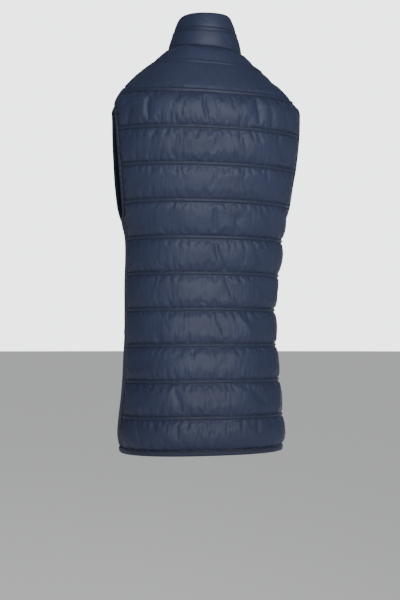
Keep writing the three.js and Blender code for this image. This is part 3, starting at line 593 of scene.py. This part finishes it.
def settle(name, points, held, growth, pressure, frames, most):
    """Lets the cloth between its stitching find its own folds, moving no point over `most`."""
    rows, columns = points.shape[:2]
    number = np.arange(rows * columns).reshape(rows, columns)
    a, b, c, d = number[:-1, :-1], number[:-1, 1:], number[1:, 1:], number[1:, :-1]
    mesh = bpy.data.meshes.new(name)
    mesh.from_pydata((points.reshape(-1, 3) / 100).tolist(), [],
                     np.stack([a.ravel(), d.ravel(), c.ravel(), b.ravel()], axis=1).tolist())
    cloth = bpy.data.objects.new(name, mesh)
    bpy.context.collection.objects.link(cloth)
    sewn = cloth.vertex_groups.new(name="sewn")
    sewn.add([int(v) for v in number[held]], 1.0, "REPLACE")
    modifier = cloth.modifiers.new("cloth", "CLOTH")
    settings = modifier.settings
    settings.quality = 6
    settings.mass = 0.3
    settings.tension_stiffness = settings.compression_stiffness = 20
    settings.shear_stiffness = 6
    settings.bending_stiffness = 0.35
    settings.tension_damping = settings.compression_damping = 10
    settings.air_damping = 4
    settings.vertex_group_mass = "sewn"
    settings.shrink_min = settings.shrink_max = -growth
    settings.use_pressure = True
    settings.uniform_pressure_force = pressure
    settings.effector_weights.gravity = 0
    modifier.point_cache.frame_start, modifier.point_cache.frame_end = 1, frames
    scene = bpy.context.scene
    for step in range(1, frames + 1):
        scene.frame_set(step)
    made = cloth.evaluated_get(bpy.context.evaluated_depsgraph_get()).to_mesh()
    where = np.empty(rows * columns * 3, dtype=np.float32)
    made.vertices.foreach_get("co", where)
    bpy.data.objects.remove(cloth)
    scene.frame_set(1)
    moved = where.reshape(points.shape).astype(float) * 100 - points
    length = np.linalg.norm(moved, axis=-1, keepdims=True)
    moved = np.where(np.isfinite(moved), moved, 0)
    return points + moved * np.minimum(1, most / np.maximum(length, 1e-6))


def sweep(name, path, normals, asides, section, material, closed=False):
    """A closed bar of one section, [aside, out], along a path."""
    section = np.asarray(section, dtype=float)
    count, turn = len(path), len(section)
    points = (path[:, None] + asides[:, None] * section[None, :, :1] + normals[:, None] * section[None, :, 1:])
    run = np.cumsum(np.linalg.norm(np.diff(path, axis=0, prepend=path[:1]), axis=1))
    girth = np.cumsum(np.linalg.norm(np.diff(section, axis=0, prepend=section[:1]), axis=1))
    uv = np.stack(np.broadcast_arrays(girth[None, :], run[:, None]), axis=-1).reshape(-1, 2)
    faces = []
    for i in range(count if closed else count - 1):
        p, q = i * turn, (i + 1) % count * turn
        faces += [[p + k, q + k, q + (k + 1) % turn, p + (k + 1) % turn] for k in range(turn)]
    if not closed:
        faces += [list(range(turn))[::-1], [(count - 1) * turn + k for k in range(turn)]]
    return make_mesh(name, points.reshape(-1, 3), faces, uv, material)


# ---------------------------------------------------------------- finishes

def linear(code):
    """An sRGB hex value as the linear colour that a shader takes."""
    parts = [int(code[i:i + 2], 16) / 255 for i in (1, 3, 5)]
    return (*[p / 12.92 if p <= 0.04045 else ((p + 0.055) / 1.055) ** 2.4 for p in parts], 1)


def node(tree, kind, inputs=None, **settings):
    """Adds a node with its settings, and gives each named input its value or link."""
    made = tree.nodes.new(kind)
    for name, value in settings.items():
        setattr(made, name, value)
    for name, value in (inputs or {}).items():
        if isinstance(value, bpy.types.NodeSocket):
            tree.links.new(value, made.inputs[name])
        else:
            made.inputs[name].default_value = value
    return made


def finish_of(name, color, roughness, **shader):
    """A material with its shader; returns it with its tree and Principled node."""
    material = bpy.data.materials.new(name)
    material.use_nodes = True
    tree = material.node_tree
    shader_node = tree.nodes["Principled BSDF"]
    shader_node.inputs["Base Color"].default_value = linear(color)
    shader_node.inputs["Roughness"].default_value = roughness
    for socket, value in shader.items():
        shader_node.inputs[socket.replace("_", " ")].default_value = value
    material.diffuse_color = linear(color)
    return material, tree, shader_node


def two_colours(tree, shader, share, low, high):
    mixed = node(tree, "ShaderNodeMix", {0: share, 6: linear(low), 7: linear(high)}, data_type="RGBA")
    tree.links.new(mixed.outputs[2], shader.inputs["Base Color"])


def relief(tree, shader, layers):
    """Bump from layers of (height socket, depth in metres, strength), the first one lowest."""
    under = None
    for height, depth, strength in layers:
        inputs = {"Height": height, "Distance": depth, "Strength": strength}
        if under:
            inputs["Normal"] = under
        under = node(tree, "ShaderNodeBump", inputs).outputs[0]
    tree.links.new(under, shader.inputs["Normal"])


def woven_nylon():
    """Satin woven polyamide shell: a smooth cloth with a soft, cool sheen that brightens the
    tops of the channels, small crinkles from the stitching and a fine plain weave."""
    material, tree, shader = finish_of(
        "satin woven nylon shell", "#2c334a", 0.5, Sheen_Weight=0.08, Sheen_Roughness=0.4,
        Sheen_Tint=linear("#8793b8"), IOR=1.5, Specular_IOR_Level=0.4)
    place = node(tree, "ShaderNodeTexCoord")
    cloth = node(tree, "ShaderNodeUVMap", uv_map="cloth")
    patches = node(tree, "ShaderNodeTexNoise", {"Vector": place.outputs["Object"], "Scale": 14.0, "Detail": 3.0})
    two_colours(tree, shader, patches.outputs["Fac"], "#282f46", "#333b57")
    # Painted shade: the shell's colour is darkened towards near black along the sewn rows beside each cord, where the
    # grooves lie in shade.
    sewn = node(tree, "ShaderNodeAttribute", attribute_name="groove")
    depth = node(tree, "ShaderNodeMath", {0: sewn.outputs["Fac"], 1: 0.66}, operation="MULTIPLY")
    lit = shader.inputs["Base Color"].links[0].from_socket
    shaded_colour = node(tree, "ShaderNodeMix", {0: depth.outputs[0], 6: lit, 7: linear("#12161f")}, data_type="RGBA")
    tree.links.new(shaded_colour.outputs[2], shader.inputs["Base Color"])
    crinkle = node(tree, "ShaderNodeTexNoise", {
        "Vector": place.outputs["Object"], "Scale": 110.0, "Detail": 4.0, "Roughness": 0.6, "Distortion": 0.6})
    # Threads lie 0.25 mm apart on the real cloth; they are drawn 0.8 mm apart so that they show.
    threads = []
    for turn in (0.0, math.pi / 2):
        turned = node(tree, "ShaderNodeMapping", {"Vector": cloth.outputs[0], "Rotation": (0, 0, turn)})
        threads.append(node(tree, "ShaderNodeTexWave", {
            "Vector": turned.outputs[0], "Scale": 1 / 0.0008 / 20, "Distortion": 0.6, "Detail": 1.0}).outputs["Fac"])
    weave = node(tree, "ShaderNodeMath", {0: threads[0], 1: threads[1]}, operation="MULTIPLY")
    dull = node(tree, "ShaderNodeMapRange", {
        "Value": crinkle.outputs["Fac"], "To Min": 0.52, "To Max": 0.66})
    tree.links.new(dull.outputs[0], shader.inputs["Roughness"])
    # The gathers stand up from the stitched lines: narrow across the cloth and long up it.
    drawn = node(tree, "ShaderNodeMapping", {"Vector": cloth.outputs[0], "Scale": (1, 0.16, 1)})
    folds = node(tree, "ShaderNodeTexNoise", {
        "Vector": drawn.outputs[0], "Scale": 210.0, "Detail": 2.0, "Roughness": 0.45, "Distortion": 0.3})
    gather = node(tree, "ShaderNodeAttribute", attribute_name="gather")
    gathered = node(tree, "ShaderNodeMath", {0: folds.outputs["Fac"], 1: gather.outputs["Fac"]}, operation="MULTIPLY")
    relief(tree, shader, [(gathered.outputs[0], 0.003, 0.85), (crinkle.outputs["Fac"], 0.0006, 0.5),
                          (weave.outputs[0], 0.00006, 0.4)])
    return material


def ribbed(name, color, light, roughness, pitch, depth, across=True, sheen=0.35):
    """Knitted or woven ribs that run along the cloth, `pitch` metres apart."""
    material, tree, shader = finish_of(name, color, roughness, Sheen_Weight=sheen, Sheen_Roughness=0.5,
                                       Sheen_Tint=linear("#7d86a0"), IOR=1.46, Specular_IOR_Level=0.3)
    cloth = node(tree, "ShaderNodeUVMap", uv_map="cloth")
    ribs = node(tree, "ShaderNodeTexWave", {
        "Vector": cloth.outputs[0], "Scale": 1 / pitch / 20, "Distortion": 0.3, "Detail": 1.0},
        bands_direction="X" if across else "Y")
    loops = node(tree, "ShaderNodeTexNoise", {"Vector": cloth.outputs[0], "Scale": 900.0, "Detail": 2.0})
    two_colours(tree, shader, ribs.outputs["Fac"], color, light)
    relief(tree, shader, [(ribs.outputs["Fac"], depth, 0.7), (loops.outputs["Fac"], 0.0002, 0.4)])
    return material


def hard(name, color, roughness, grain, **shader_values):
    """A hard finish with a faint grain that spreads its highlights."""
    material, tree, shader = finish_of(name, color, roughness, **shader_values)
    place = node(tree, "ShaderNodeTexCoord")
    rough = node(tree, "ShaderNodeTexNoise", {"Vector": place.outputs["Object"], "Scale": grain, "Detail": 3.0})
    spread = node(tree, "ShaderNodeMapRange", {
        "Value": rough.outputs["Fac"], "To Min": roughness - 0.07, "To Max": roughness + 0.07})
    tree.links.new(spread.outputs[0], shader.inputs["Roughness"])
    relief(tree, shader, [(rough.outputs["Fac"], 0.00008, 0.4)])
    return material


SHELL = woven_nylon()
# Rib knit of polyester and elastane: matt, dark, with ribs that catch a little light.
KNIT = ribbed("polyester rib knit", "#20242f", "#2e3341", 0.8, 0.0028, 0.0004)
# Folded elastic binding: matt and slightly ribbed along its length.
BIND = ribbed("folded elastic binding", "#272c3b", "#323848", 0.7, 0.0016, 0.0002, across=False)
# Woven polyester zip tape: a flat herringbone that looks like fine ribs from a step away.
TAPE = ribbed("woven polyester tape", "#1d212d", "#292e3c", 0.75, 0.0012, 0.0001)
# Spun polyester sewing thread, a touch lighter than the shell because it lies on top.
THREAD = ribbed("polyester sewing thread", "#272d42", "#333a52", 0.7, 0.0004, 0.0001, sheen=0.05)
# Moulded acetal teeth: dense plastic with a low, even gloss.
ACETAL = hard("moulded acetal", "#24272f", 0.38, 700.0, IOR=1.48)
# Die-cast zinc under dark baked paint: smooth, with small soft highlights.
PAINTED_ZINC = hard("painted die cast zinc", "#2a2c31", 0.34, 500.0, Metallic=0.0, Coat_Weight=0.35, Coat_Roughness=0.2)


# ---------------------------------------------------------------- the sewn pieces

def sewn_on(piece, *nodes, slot_name, body=GARMENT):
    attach(piece, body)
    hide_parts(*nodes)
    return piece


def quilted_panel(name, rows, points, normals, crease_table, crease_x, seed):
    """Makes a padded panel, and returns the places and directions of its stitched rows."""
    thickness, held = filled(rows, points, crease_table, crease_x, seed)
    outer = points + normals * thickness[..., None]
    settled = settle(name, outer, held, growth=0.03, pressure=0.35, frames=22, most=3.0)
    outer = mix(outer, settled, (0.25 + 0.75 * level_share(rows))[:, None, None])
    fine = finer(outer)
    normal = grid_normals(fine)
    across, up = cloth_size(fine)
    reach = edge_share(fine, 9)
    line = np.interp(np.arange(len(fine)) / 2, np.arange(len(rows)), rows)
    fine = fine + normal * (crinkles(seed + 20, line, across, up) * reach)[..., None]
    # The second mark is painted shade: it darkens the shell's colour along the sewn rows beside each cord.
    panel = closed_cloth(name + "_quilt", fine, points, SHELL,
                         gather=gathering(line)[:, None] * reach, groove=grooves(line)[:, None] * reach)
    sewn_on(panel, name, slot_name="shell")
    stitched = np.nonzero(np.isclose(np.abs(rows - np.round(rows)), HALF_STITCH, atol=1e-4))[0]
    return [(fine[2 * row], normal[2 * row]) for row in stitched]


seams = []
rows, angle, height = back_places()
points, normals = body_sheet(angle, height)
seams += quilted_panel("back", rows, points, normals, BACK_CREASES, points[..., 0], 11)

rows, angle, height = front_places()
for side_name, side, seed in (("left", 1, 41), ("right", -1, 71)):
    order = slice(None, None, -1) if side > 0 else slice(None)
    points, normals = body_sheet(side * angle[:, order], height[:, order])
    from_zip = side * (points[..., 0] - along(SECTIONS, 5, points[..., 2]))
    seams += quilted_panel(f"front_{side_name}", rows, points, normals, FRONT_CREASES, from_zip, seed)


def collar():
    """The stand collar: two padded channels with a stitched line between them."""
    shares = [GAP / COLLAR_TALL, 0.08, 0.25, 0.42, 0.47, 0.52, 0.57, 0.75, 0.92, 1]
    lines = [0.06, 0.2, 0.5, 0.8, 1 - HALF_STITCH, 1, 1 + HALF_STITCH, 1.5, 1.8, 1.96]
    share = np.unique(np.concatenate([
        np.linspace(shares[0], 0.47, 11), [0.52], np.linspace(0.57, 1, 10)]))
    share = share[:2 * (len(share) // 2) + 1]
    half = zip_edge(collar_point, share)
    angle = half[:, None] * np.linspace(-1, 1, 121)
    up = share[:, None] + 0 * angle
    points, normals = collar_sheet(angle, up)
    line = np.interp(share, shares, lines)
    off = np.abs(line - np.round(line))[:, None]
    across, rise = cloth_size(points)
    ends = smooth(np.minimum(np.arange(121), 120 - np.arange(121)), 0, 3)
    crown = np.sin(np.pi * np.clip((off - HALF_STITCH) / (1 - 2 * HALF_STITCH), 0, 1)) ** 0.62
    pipe = PIPE * (1 - np.minimum(off / HALF_STITCH, 1) ** 2)
    near_line = np.exp(-np.abs(rise - 31) / 9) + np.exp(-rise / 7)
    wave = 0.5 * noise(301, across, rise, 7, 26) * near_line + 0.6 * noise(302, across + 0.8 * rise, rise, 15, 22)
    rounding = 0.55 + 0.45 * smooth(np.minimum(up, 1 - up), 0, 0.05)
    wave = wave - creases(COLLAR_CREASES, points[..., 0], rise)
    thickness = CLOTH * rounding + 0.55 * ends * (0.85 * LOFT * crown * (0.85 + 0.25 * noise(303, across, rise, 60, 30))
                                             + pipe + smooth(off, HALF_STITCH, 0.12) * wave)
    outer = points + normals * thickness[..., None]
    fine = finer(outer)
    line = np.interp(np.arange(len(fine)) / 2, np.arange(len(line)), line)
    # Painted shade along the collar's two sewn rows, darkening the shell's colour there.
    groove = grooves(line) * (np.abs(line - 1) < 0.5)
    piece = closed_cloth("collar_quilt", fine, points, SHELL, groove=groove[:, None])
    sewn_on(piece, "collar", slot_name="shell")
    normal = grid_normals(fine)
    stitched = [int(np.argmin(np.abs(share - at))) for at in (0.47, 0.57)]
    return [(fine[2 * row], normal[2 * row]) for row in stitched]


seams += collar()


def hem_band():
    height = np.array([0, 0.6, 2.0, 3.5, 5, 6.5, 8.0, 9.3, HEM_BAND])
    thick = np.array([2.4, 3.7, 4.5, 4.4, 4.4, 4.5, 4.6, 4.0, 2.8])
    angle = zip_edge(body_point, height)[:, None] * np.linspace(-1, 1, 361)
    points, normals = body_sheet(angle, height[:, None] + 0 * angle)
    across, up = cloth_size(points)
    wave = 0.35 * noise(401, across, up, 9, 30) + 0.3 * noise(402, across, up, 31, 30)
    outer = points + normals * (thick[:, None] + wave * np.sin(np.pi * np.arange(9) / 8)[:, None])[..., None]
    piece = closed_cloth("hem_band_cloth", outer, points[::2, ::2], BIND)
    sewn_on(piece, "hem_band", slot_name="binding")


hem_band()


def side_panel(name, side):
    """Ribbed knit from the hem to the underarm, with a soft ridge down its middle."""
    share, up = np.linspace(0, 1, 41), np.linspace(0, 1, 81)
    depth_at = lambda height: mix(side_seam_depth(height, 1) - GAP / 2, side_seam_depth(height, -1) + GAP / 2, share)
    top = underarm(depth_at(np.full(1, float(ARMHOLE_BOTTOM))))
    height = mix(HEM_BAND + GAP, top[None, :], up[:, None])
    depth = mix(side_seam_depth(height, 1) - GAP / 2, side_seam_depth(height, -1) + GAP / 2, share)
    points, normals = body_sheet(side * angle_at_depth(depth, height), height)
    across, rise = cloth_size(points)
    ridge = 1.1 * np.exp(-((share - 0.5) / 0.05) ** 2)
    ribs = 0.18 * np.cos(2 * np.pi * across / 5.6)
    sway = 0.5 * noise(501 + side, across, rise, 24, 40)
    edge = edge_share(points, 5)
    thickness = 1.5 + edge * (0.8 + ridge[None, :] + ribs + sway)
    outer = points + normals * thickness[..., None]
    piece = closed_cloth(name + "_knit", outer, points[::2, ::2], KNIT)
    sewn_on(piece, name, slot_name="side_knit")


side_panel("side_left", 1)
side_panel("side_right", -1)


def armhole_binding(name, side):
    """A folded elastic tape round the armhole's edge."""
    over_line = np.linspace(FAN_TO, FAN_FROM, 70)
    over_angle, over_height = fan_places(over_line, 1.0 + 0 * over_line)
    behind = np.linspace(CORNER_BACK, SHOULDER_END, 70)[:-1]
    before = np.linspace(float(height_of(FAN_FROM)), CORNER_FRONT, 70)[1:]
    low, high = (float(side_seam_depth(np.array(float(ARMHOLE_BOTTOM)), s)) for s in (-1, 1))
    beneath = np.linspace(low, high, 26)[1:-1]
    under_height = underarm(beneath)
    angle = np.concatenate([
        angle_at_depth(armhole_depth(behind, 1), behind), over_angle,
        angle_at_depth(armhole_depth(before, -1), before), angle_at_depth(beneath, under_height)])
    height = np.concatenate([behind, over_height, before, under_height])
    points, normals = body_sheet(side * angle, height)
    run = np.roll(points, -1, axis=0) - np.roll(points, 1, axis=0)
    asides = unit(np.cross(normals, run))
    inward = np.stack([0 * angle, ARMHOLE_MIDDLE - points[:, 1], ARM_MIDDLE - points[:, 2]], axis=-1)
    asides *= np.sign(np.sum(asides * inward, axis=-1))[:, None]
    section = [(0.4, -0.5), (0.3, 1.6), (0.5, 3.2), (1.3, 4.2), (2.6, 4.4), (3.4, 4.0), (4.2, 4.5), (5.4, 4.3),
               (6.4, 3.5), (6.7, 2.2), (6.6, 0.6), (6.0, -0.6), (4.6, -1.0), (2.4, -0.9)]
    piece = sweep(name + "_tape", points, normals, asides, section, BIND, closed=True)
    sewn_on(piece, name, slot_name="binding")


armhole_binding("armhole_binding_left", 1)
armhole_binding("armhole_binding_right", -1)


# ---------------------------------------------------------------- zip

ZIP_TOP = 0.96  # of the collar's height


def zip_path(low):
    """Centre of the closed zip from the hem to the slider."""
    height = np.linspace(low, NECK_FRONT, 90)
    body, body_out = body_sheet(math.pi + 0 * height, height)
    share = np.linspace(0.03, ZIP_TOP, 14)
    upper, upper_out = collar_sheet(math.pi + 0 * share, share)
    return np.concatenate([body, upper]), np.concatenate([body_out, upper_out])


def zip_tape(name, side):
    path, out = zip_path(1)
    # The outer edge goes behind the front's folded edge, where the real one is sewn.
    section = [(side * across, lift) for across, lift in (
        (0.2, 0.1), (0.2, 0.8), (2.8, 0.9), (3.3, 1.6), (5.2, 1.5), (7.2, 1.6), (7.3, 0.2), (9.8, -0.35),
        (9.8, -0.85), (7.0, -0.4))]
    piece = sweep(name + "_cloth", path, out, np.tile((1.0, 0, 0), (len(path), 1)), section, TAPE)
    sewn_on(piece, name, slot_name="zip_tape")


zip_tape("zip_tape_left", 1)
zip_tape("zip_tape_right", -1)


def row_curve(name, paths):
    """A curve object with a straight-sided spline through each path, in metres."""
    curve = bpy.data.curves.new(name, "CURVE")
    curve.dimensions = "3D"
    for path in paths:
        spline = curve.splines.new("POLY")
        spline.points.add(len(path) - 1)
        spline.points.foreach_set("co", np.column_stack([metres(path), np.ones(len(path))]).ravel())
    made = bpy.data.objects.new(name, curve)
    bpy.context.collection.objects.link(made)
    return made


def repeat_along(name, paths, shape, pitch, aside, size, material):
    """Geometry Nodes set copies of `shape` along the paths, every second one moved aside."""
    tree = bpy.data.node_groups.new(name, "GeometryNodeTree")
    face = tree.interface
    face.new_socket("Geometry", in_out="INPUT", socket_type="NodeSocketGeometry")
    wanted = {"Shape": ("NodeSocketObject", shape), "Pitch": ("NodeSocketFloat", pitch),
              "Aside": ("NodeSocketFloat", aside), "Size": ("NodeSocketVector", size),
              "Finish": ("NodeSocketMaterial", material)}
    sockets = {key: face.new_socket(key, in_out="INPUT", socket_type=kind) for key, (kind, _) in wanted.items()}
    face.new_socket("Geometry", in_out="OUTPUT", socket_type="NodeSocketGeometry")
    given = node(tree, "NodeGroupInput").outputs
    spots = node(tree, "GeometryNodeCurveToPoints", {"Curve": given["Geometry"], "Length": given["Pitch"]},
                 mode="LENGTH")
    index = node(tree, "GeometryNodeInputIndex")
    odd = node(tree, "ShaderNodeMath", {0: index.outputs[0], 1: 2.0}, operation="FLOORED_MODULO")
    swing = node(tree, "ShaderNodeMapRange", {"Value": odd.outputs[0], "To Min": -1.0, "To Max": 1.0})
    shift = node(tree, "ShaderNodeMath", {0: swing.outputs[0], 1: given["Aside"]}, operation="MULTIPLY")
    offset = node(tree, "ShaderNodeCombineXYZ", {"X": shift.outputs[0]})
    moved = node(tree, "GeometryNodeSetPosition", {"Geometry": spots.outputs["Points"], "Offset": offset.outputs[0]})
    pattern = node(tree, "GeometryNodeObjectInfo", {"Object": given["Shape"]})
    copies = node(tree, "GeometryNodeInstanceOnPoints", {
        "Points": moved.outputs[0], "Instance": pattern.outputs["Geometry"],
        "Rotation": spots.outputs["Rotation"], "Scale": given["Size"]})
    real = node(tree, "GeometryNodeRealizeInstances", {"Geometry": copies.outputs[0]})
    dressed = node(tree, "GeometryNodeSetMaterial", {"Geometry": real.outputs[0], "Material": given["Finish"]})
    node(tree, "NodeGroupOutput", {"Geometry": dressed.outputs[0]})
    carrier = row_curve(name, paths)
    modifier = carrier.modifiers.new(name, "NODES")
    modifier.node_group = tree
    for key, (_, value) in wanted.items():
        modifier[sockets[key].identifier] = value
    depsgraph = bpy.context.evaluated_depsgraph_get()
    mesh = bpy.data.meshes.new_from_object(carrier.evaluated_get(depsgraph), depsgraph=depsgraph)
    bpy.data.objects.remove(carrier)
    bpy.data.objects.remove(shape)
    mesh.name = name
    made = bpy.data.objects.new(name, mesh)
    bpy.context.collection.objects.link(made)
    if "cloth" not in mesh.uv_layers:
        mesh.uv_layers.new(name="cloth")
    return made


def little_shape(name, outline, rings):
    """A small closed shape of rings along Z: each ring is (z, scale) of the outline."""
    bm = bmesh.new()
    loops = [[bm.verts.new((x * s, y * s, z)) for x, y in outline] for z, s in rings]
    for a, b in zip(loops, loops[1:]):
        for k in range(len(outline)):
            m = (k + 1) % len(outline)
            bm.faces.new((a[k], a[m], b[m], b[k]))
    bm.faces.new(loops[0][::-1])
    bm.faces.new(loops[-1])
    mesh = bpy.data.meshes.new(name)
    bm.to_mesh(mesh)
    bm.free()
    made = bpy.data.objects.new(name, mesh)
    bpy.context.collection.objects.link(made)
    return made


def on_cloth(paths, lift):
    return [path + normal * lift for path, normal in paths]


def stitching():
    """Sewing thread in short raised stitches along both rows of every stitched line."""
    corner = [(math.cos(k * math.tau / 5) / 2, math.sin(k * math.tau / 5) / 2) for k in range(5)]
    stitch = little_shape("stitch", corner, [(-0.5, 0.35), (-0.3, 1), (0.3, 1), (0.5, 0.35)])
    piece = repeat_along("stitching", on_cloth(seams, 0.12), stitch, pitch=0.0033, aside=0.0,
                         size=(0.0008, 0.0008, 0.0025), material=THREAD)
    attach(piece, GARMENT)


stitching()


def zip_teeth():
    """The closed chain: moulded teeth of the two tapes, one between the next two."""
    outline = [(-0.5, -0.5), (0.28, -0.5), (0.5, -0.3), (0.5, 0.3), (0.28, 0.5), (-0.5, 0.5)]
    tooth = little_shape("tooth", outline, [(-0.5, 0.8), (-0.36, 1), (0.36, 1), (0.5, 0.8)])
    path, out = zip_path(3.5)
    piece = repeat_along("zip_teeth_chain", [path + out * 1.15], tooth, pitch=0.0014, aside=0.0009,
                         size=(0.0021, 0.0036, 0.0011), material=ACETAL)
    sewn_on(piece, "zip_teeth", slot_name="zip_teeth")


zip_teeth()


def polished(node_name, body, radius):
    """The metal part with its edges rounded as the casting's are."""
    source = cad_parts[node_name]
    bm = bmesh.new()
    bm.from_mesh(source.data)
    bmesh.ops.remove_doubles(bm, verts=bm.verts, dist=1e-6)
    bmesh.ops.dissolve_limit(bm, angle_limit=0.02, verts=bm.verts, edges=bm.edges)
    mesh = bpy.data.meshes.new(node_name + "_cast")
    bm.to_mesh(mesh)
    bm.free()
    mesh.materials.clear()
    mesh.materials.append(PAINTED_ZINC)
    piece = bpy.data.objects.new(node_name + "_cast", mesh)
    bpy.context.collection.objects.link(piece)
    bevel = piece.modifiers.new("cast edges", "BEVEL")
    bevel.width, bevel.segments, bevel.limit_method = radius, 2, "ANGLE"
    depsgraph = bpy.context.evaluated_depsgraph_get()
    rounded = bpy.data.meshes.new_from_object(piece.evaluated_get(depsgraph), depsgraph=depsgraph)
    piece.modifiers.clear()
    piece.data = rounded
    sewn_on(piece, node_name, slot_name="zip_metal", body=body)


polished("zip_slider", GARMENT, 0.0003)
polished("zip_pull", PULL_TAB, 0.00025)


# ---------------------------------------------------------------- floor, light and camera

def studio():
    mesh = bpy.data.meshes.new("floor")
    around = [(60 * math.cos(k * math.tau / 48), 60 * math.sin(k * math.tau / 48), -1.49) for k in range(48)]
    mesh.from_pydata(around, [], [list(range(48))])
    floor = bpy.data.objects.new("floor", mesh)
    bpy.context.collection.objects.link(floor)
    material, tree, shader = finish_of("pale matt floor", "#f0f0f0", 0.9, Emission_Color=linear("#f4f5f7"),
                                       Emission_Strength=0.4)
    grain = node(tree, "ShaderNodeTexNoise", {"Scale": 6.0, "Detail": 3.0})
    two_colours(tree, shader, grain.outputs["Fac"], "#ececec", "#f3f3f3")
    mesh.materials.append(material)
    floor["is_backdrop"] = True

    world = bpy.data.worlds.new("studio")
    bpy.context.scene.world = world
    world.use_nodes = True
    background = world.node_tree.nodes["Background"]
    background.inputs["Color"].default_value = linear("#eef0f3")
    # The room looks pale, and lights the cloth less than it looks, as a dark studio would.
    path = node(world.node_tree, "ShaderNodeLightPath")
    room = node(world.node_tree, "ShaderNodeMapRange", {
        "Value": path.outputs["Is Camera Ray"], "To Min": 0.1, "To Max": 3.8})
    world.node_tree.links.new(room.outputs[0], background.inputs["Strength"])

    for name, place, aim_at, size, power, spread in (
        ("key", (-0.12, 2.0, 0.62), 0.09, 1.9, 10.5, 44), ("top", (0.2, 0.9, 2.6), -0.25, 2.4, 5, 180),
        ("front", (-0.7, -2.5, -0.3), -0.25, 1.8, 30, 180), ("side", (-2.6, -0.3, 0.2), -0.25, 2.2, 2, 180),
    ):
        lamp = bpy.data.lights.new(name, "AREA")
        lamp.size, lamp.energy, lamp.spread = size, power, math.radians(spread)
        holder = bpy.data.objects.new(name, lamp)
        bpy.context.collection.objects.link(holder)
        holder.location = place
        aim = np.array((0, 0, aim_at)) - np.array(place)
        holder.rotation_euler = mathutils.Vector(aim).to_track_quat("-Z", "Y").to_euler()

    camera = bpy.data.cameras.new("camera")
    camera.lens = 91
    camera.shift_y = 25 / 600  # the photograph's horizon lies a little below its middle
    camera.clip_end = 200
    holder = bpy.data.objects.new("camera", camera)
    bpy.context.collection.objects.link(holder)
    toward = mathutils.Vector((math.sin(math.radians(171)), -math.cos(math.radians(171)), 0))
    holder.location = toward * 2.7 + mathutils.Vector((0, 0, -0.4177))
    holder.rotation_euler = (-toward).to_track_quat("-Z", "Y").to_euler()
    bpy.context.scene.camera = holder


studio()

made_box = [list(corner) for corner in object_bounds()]
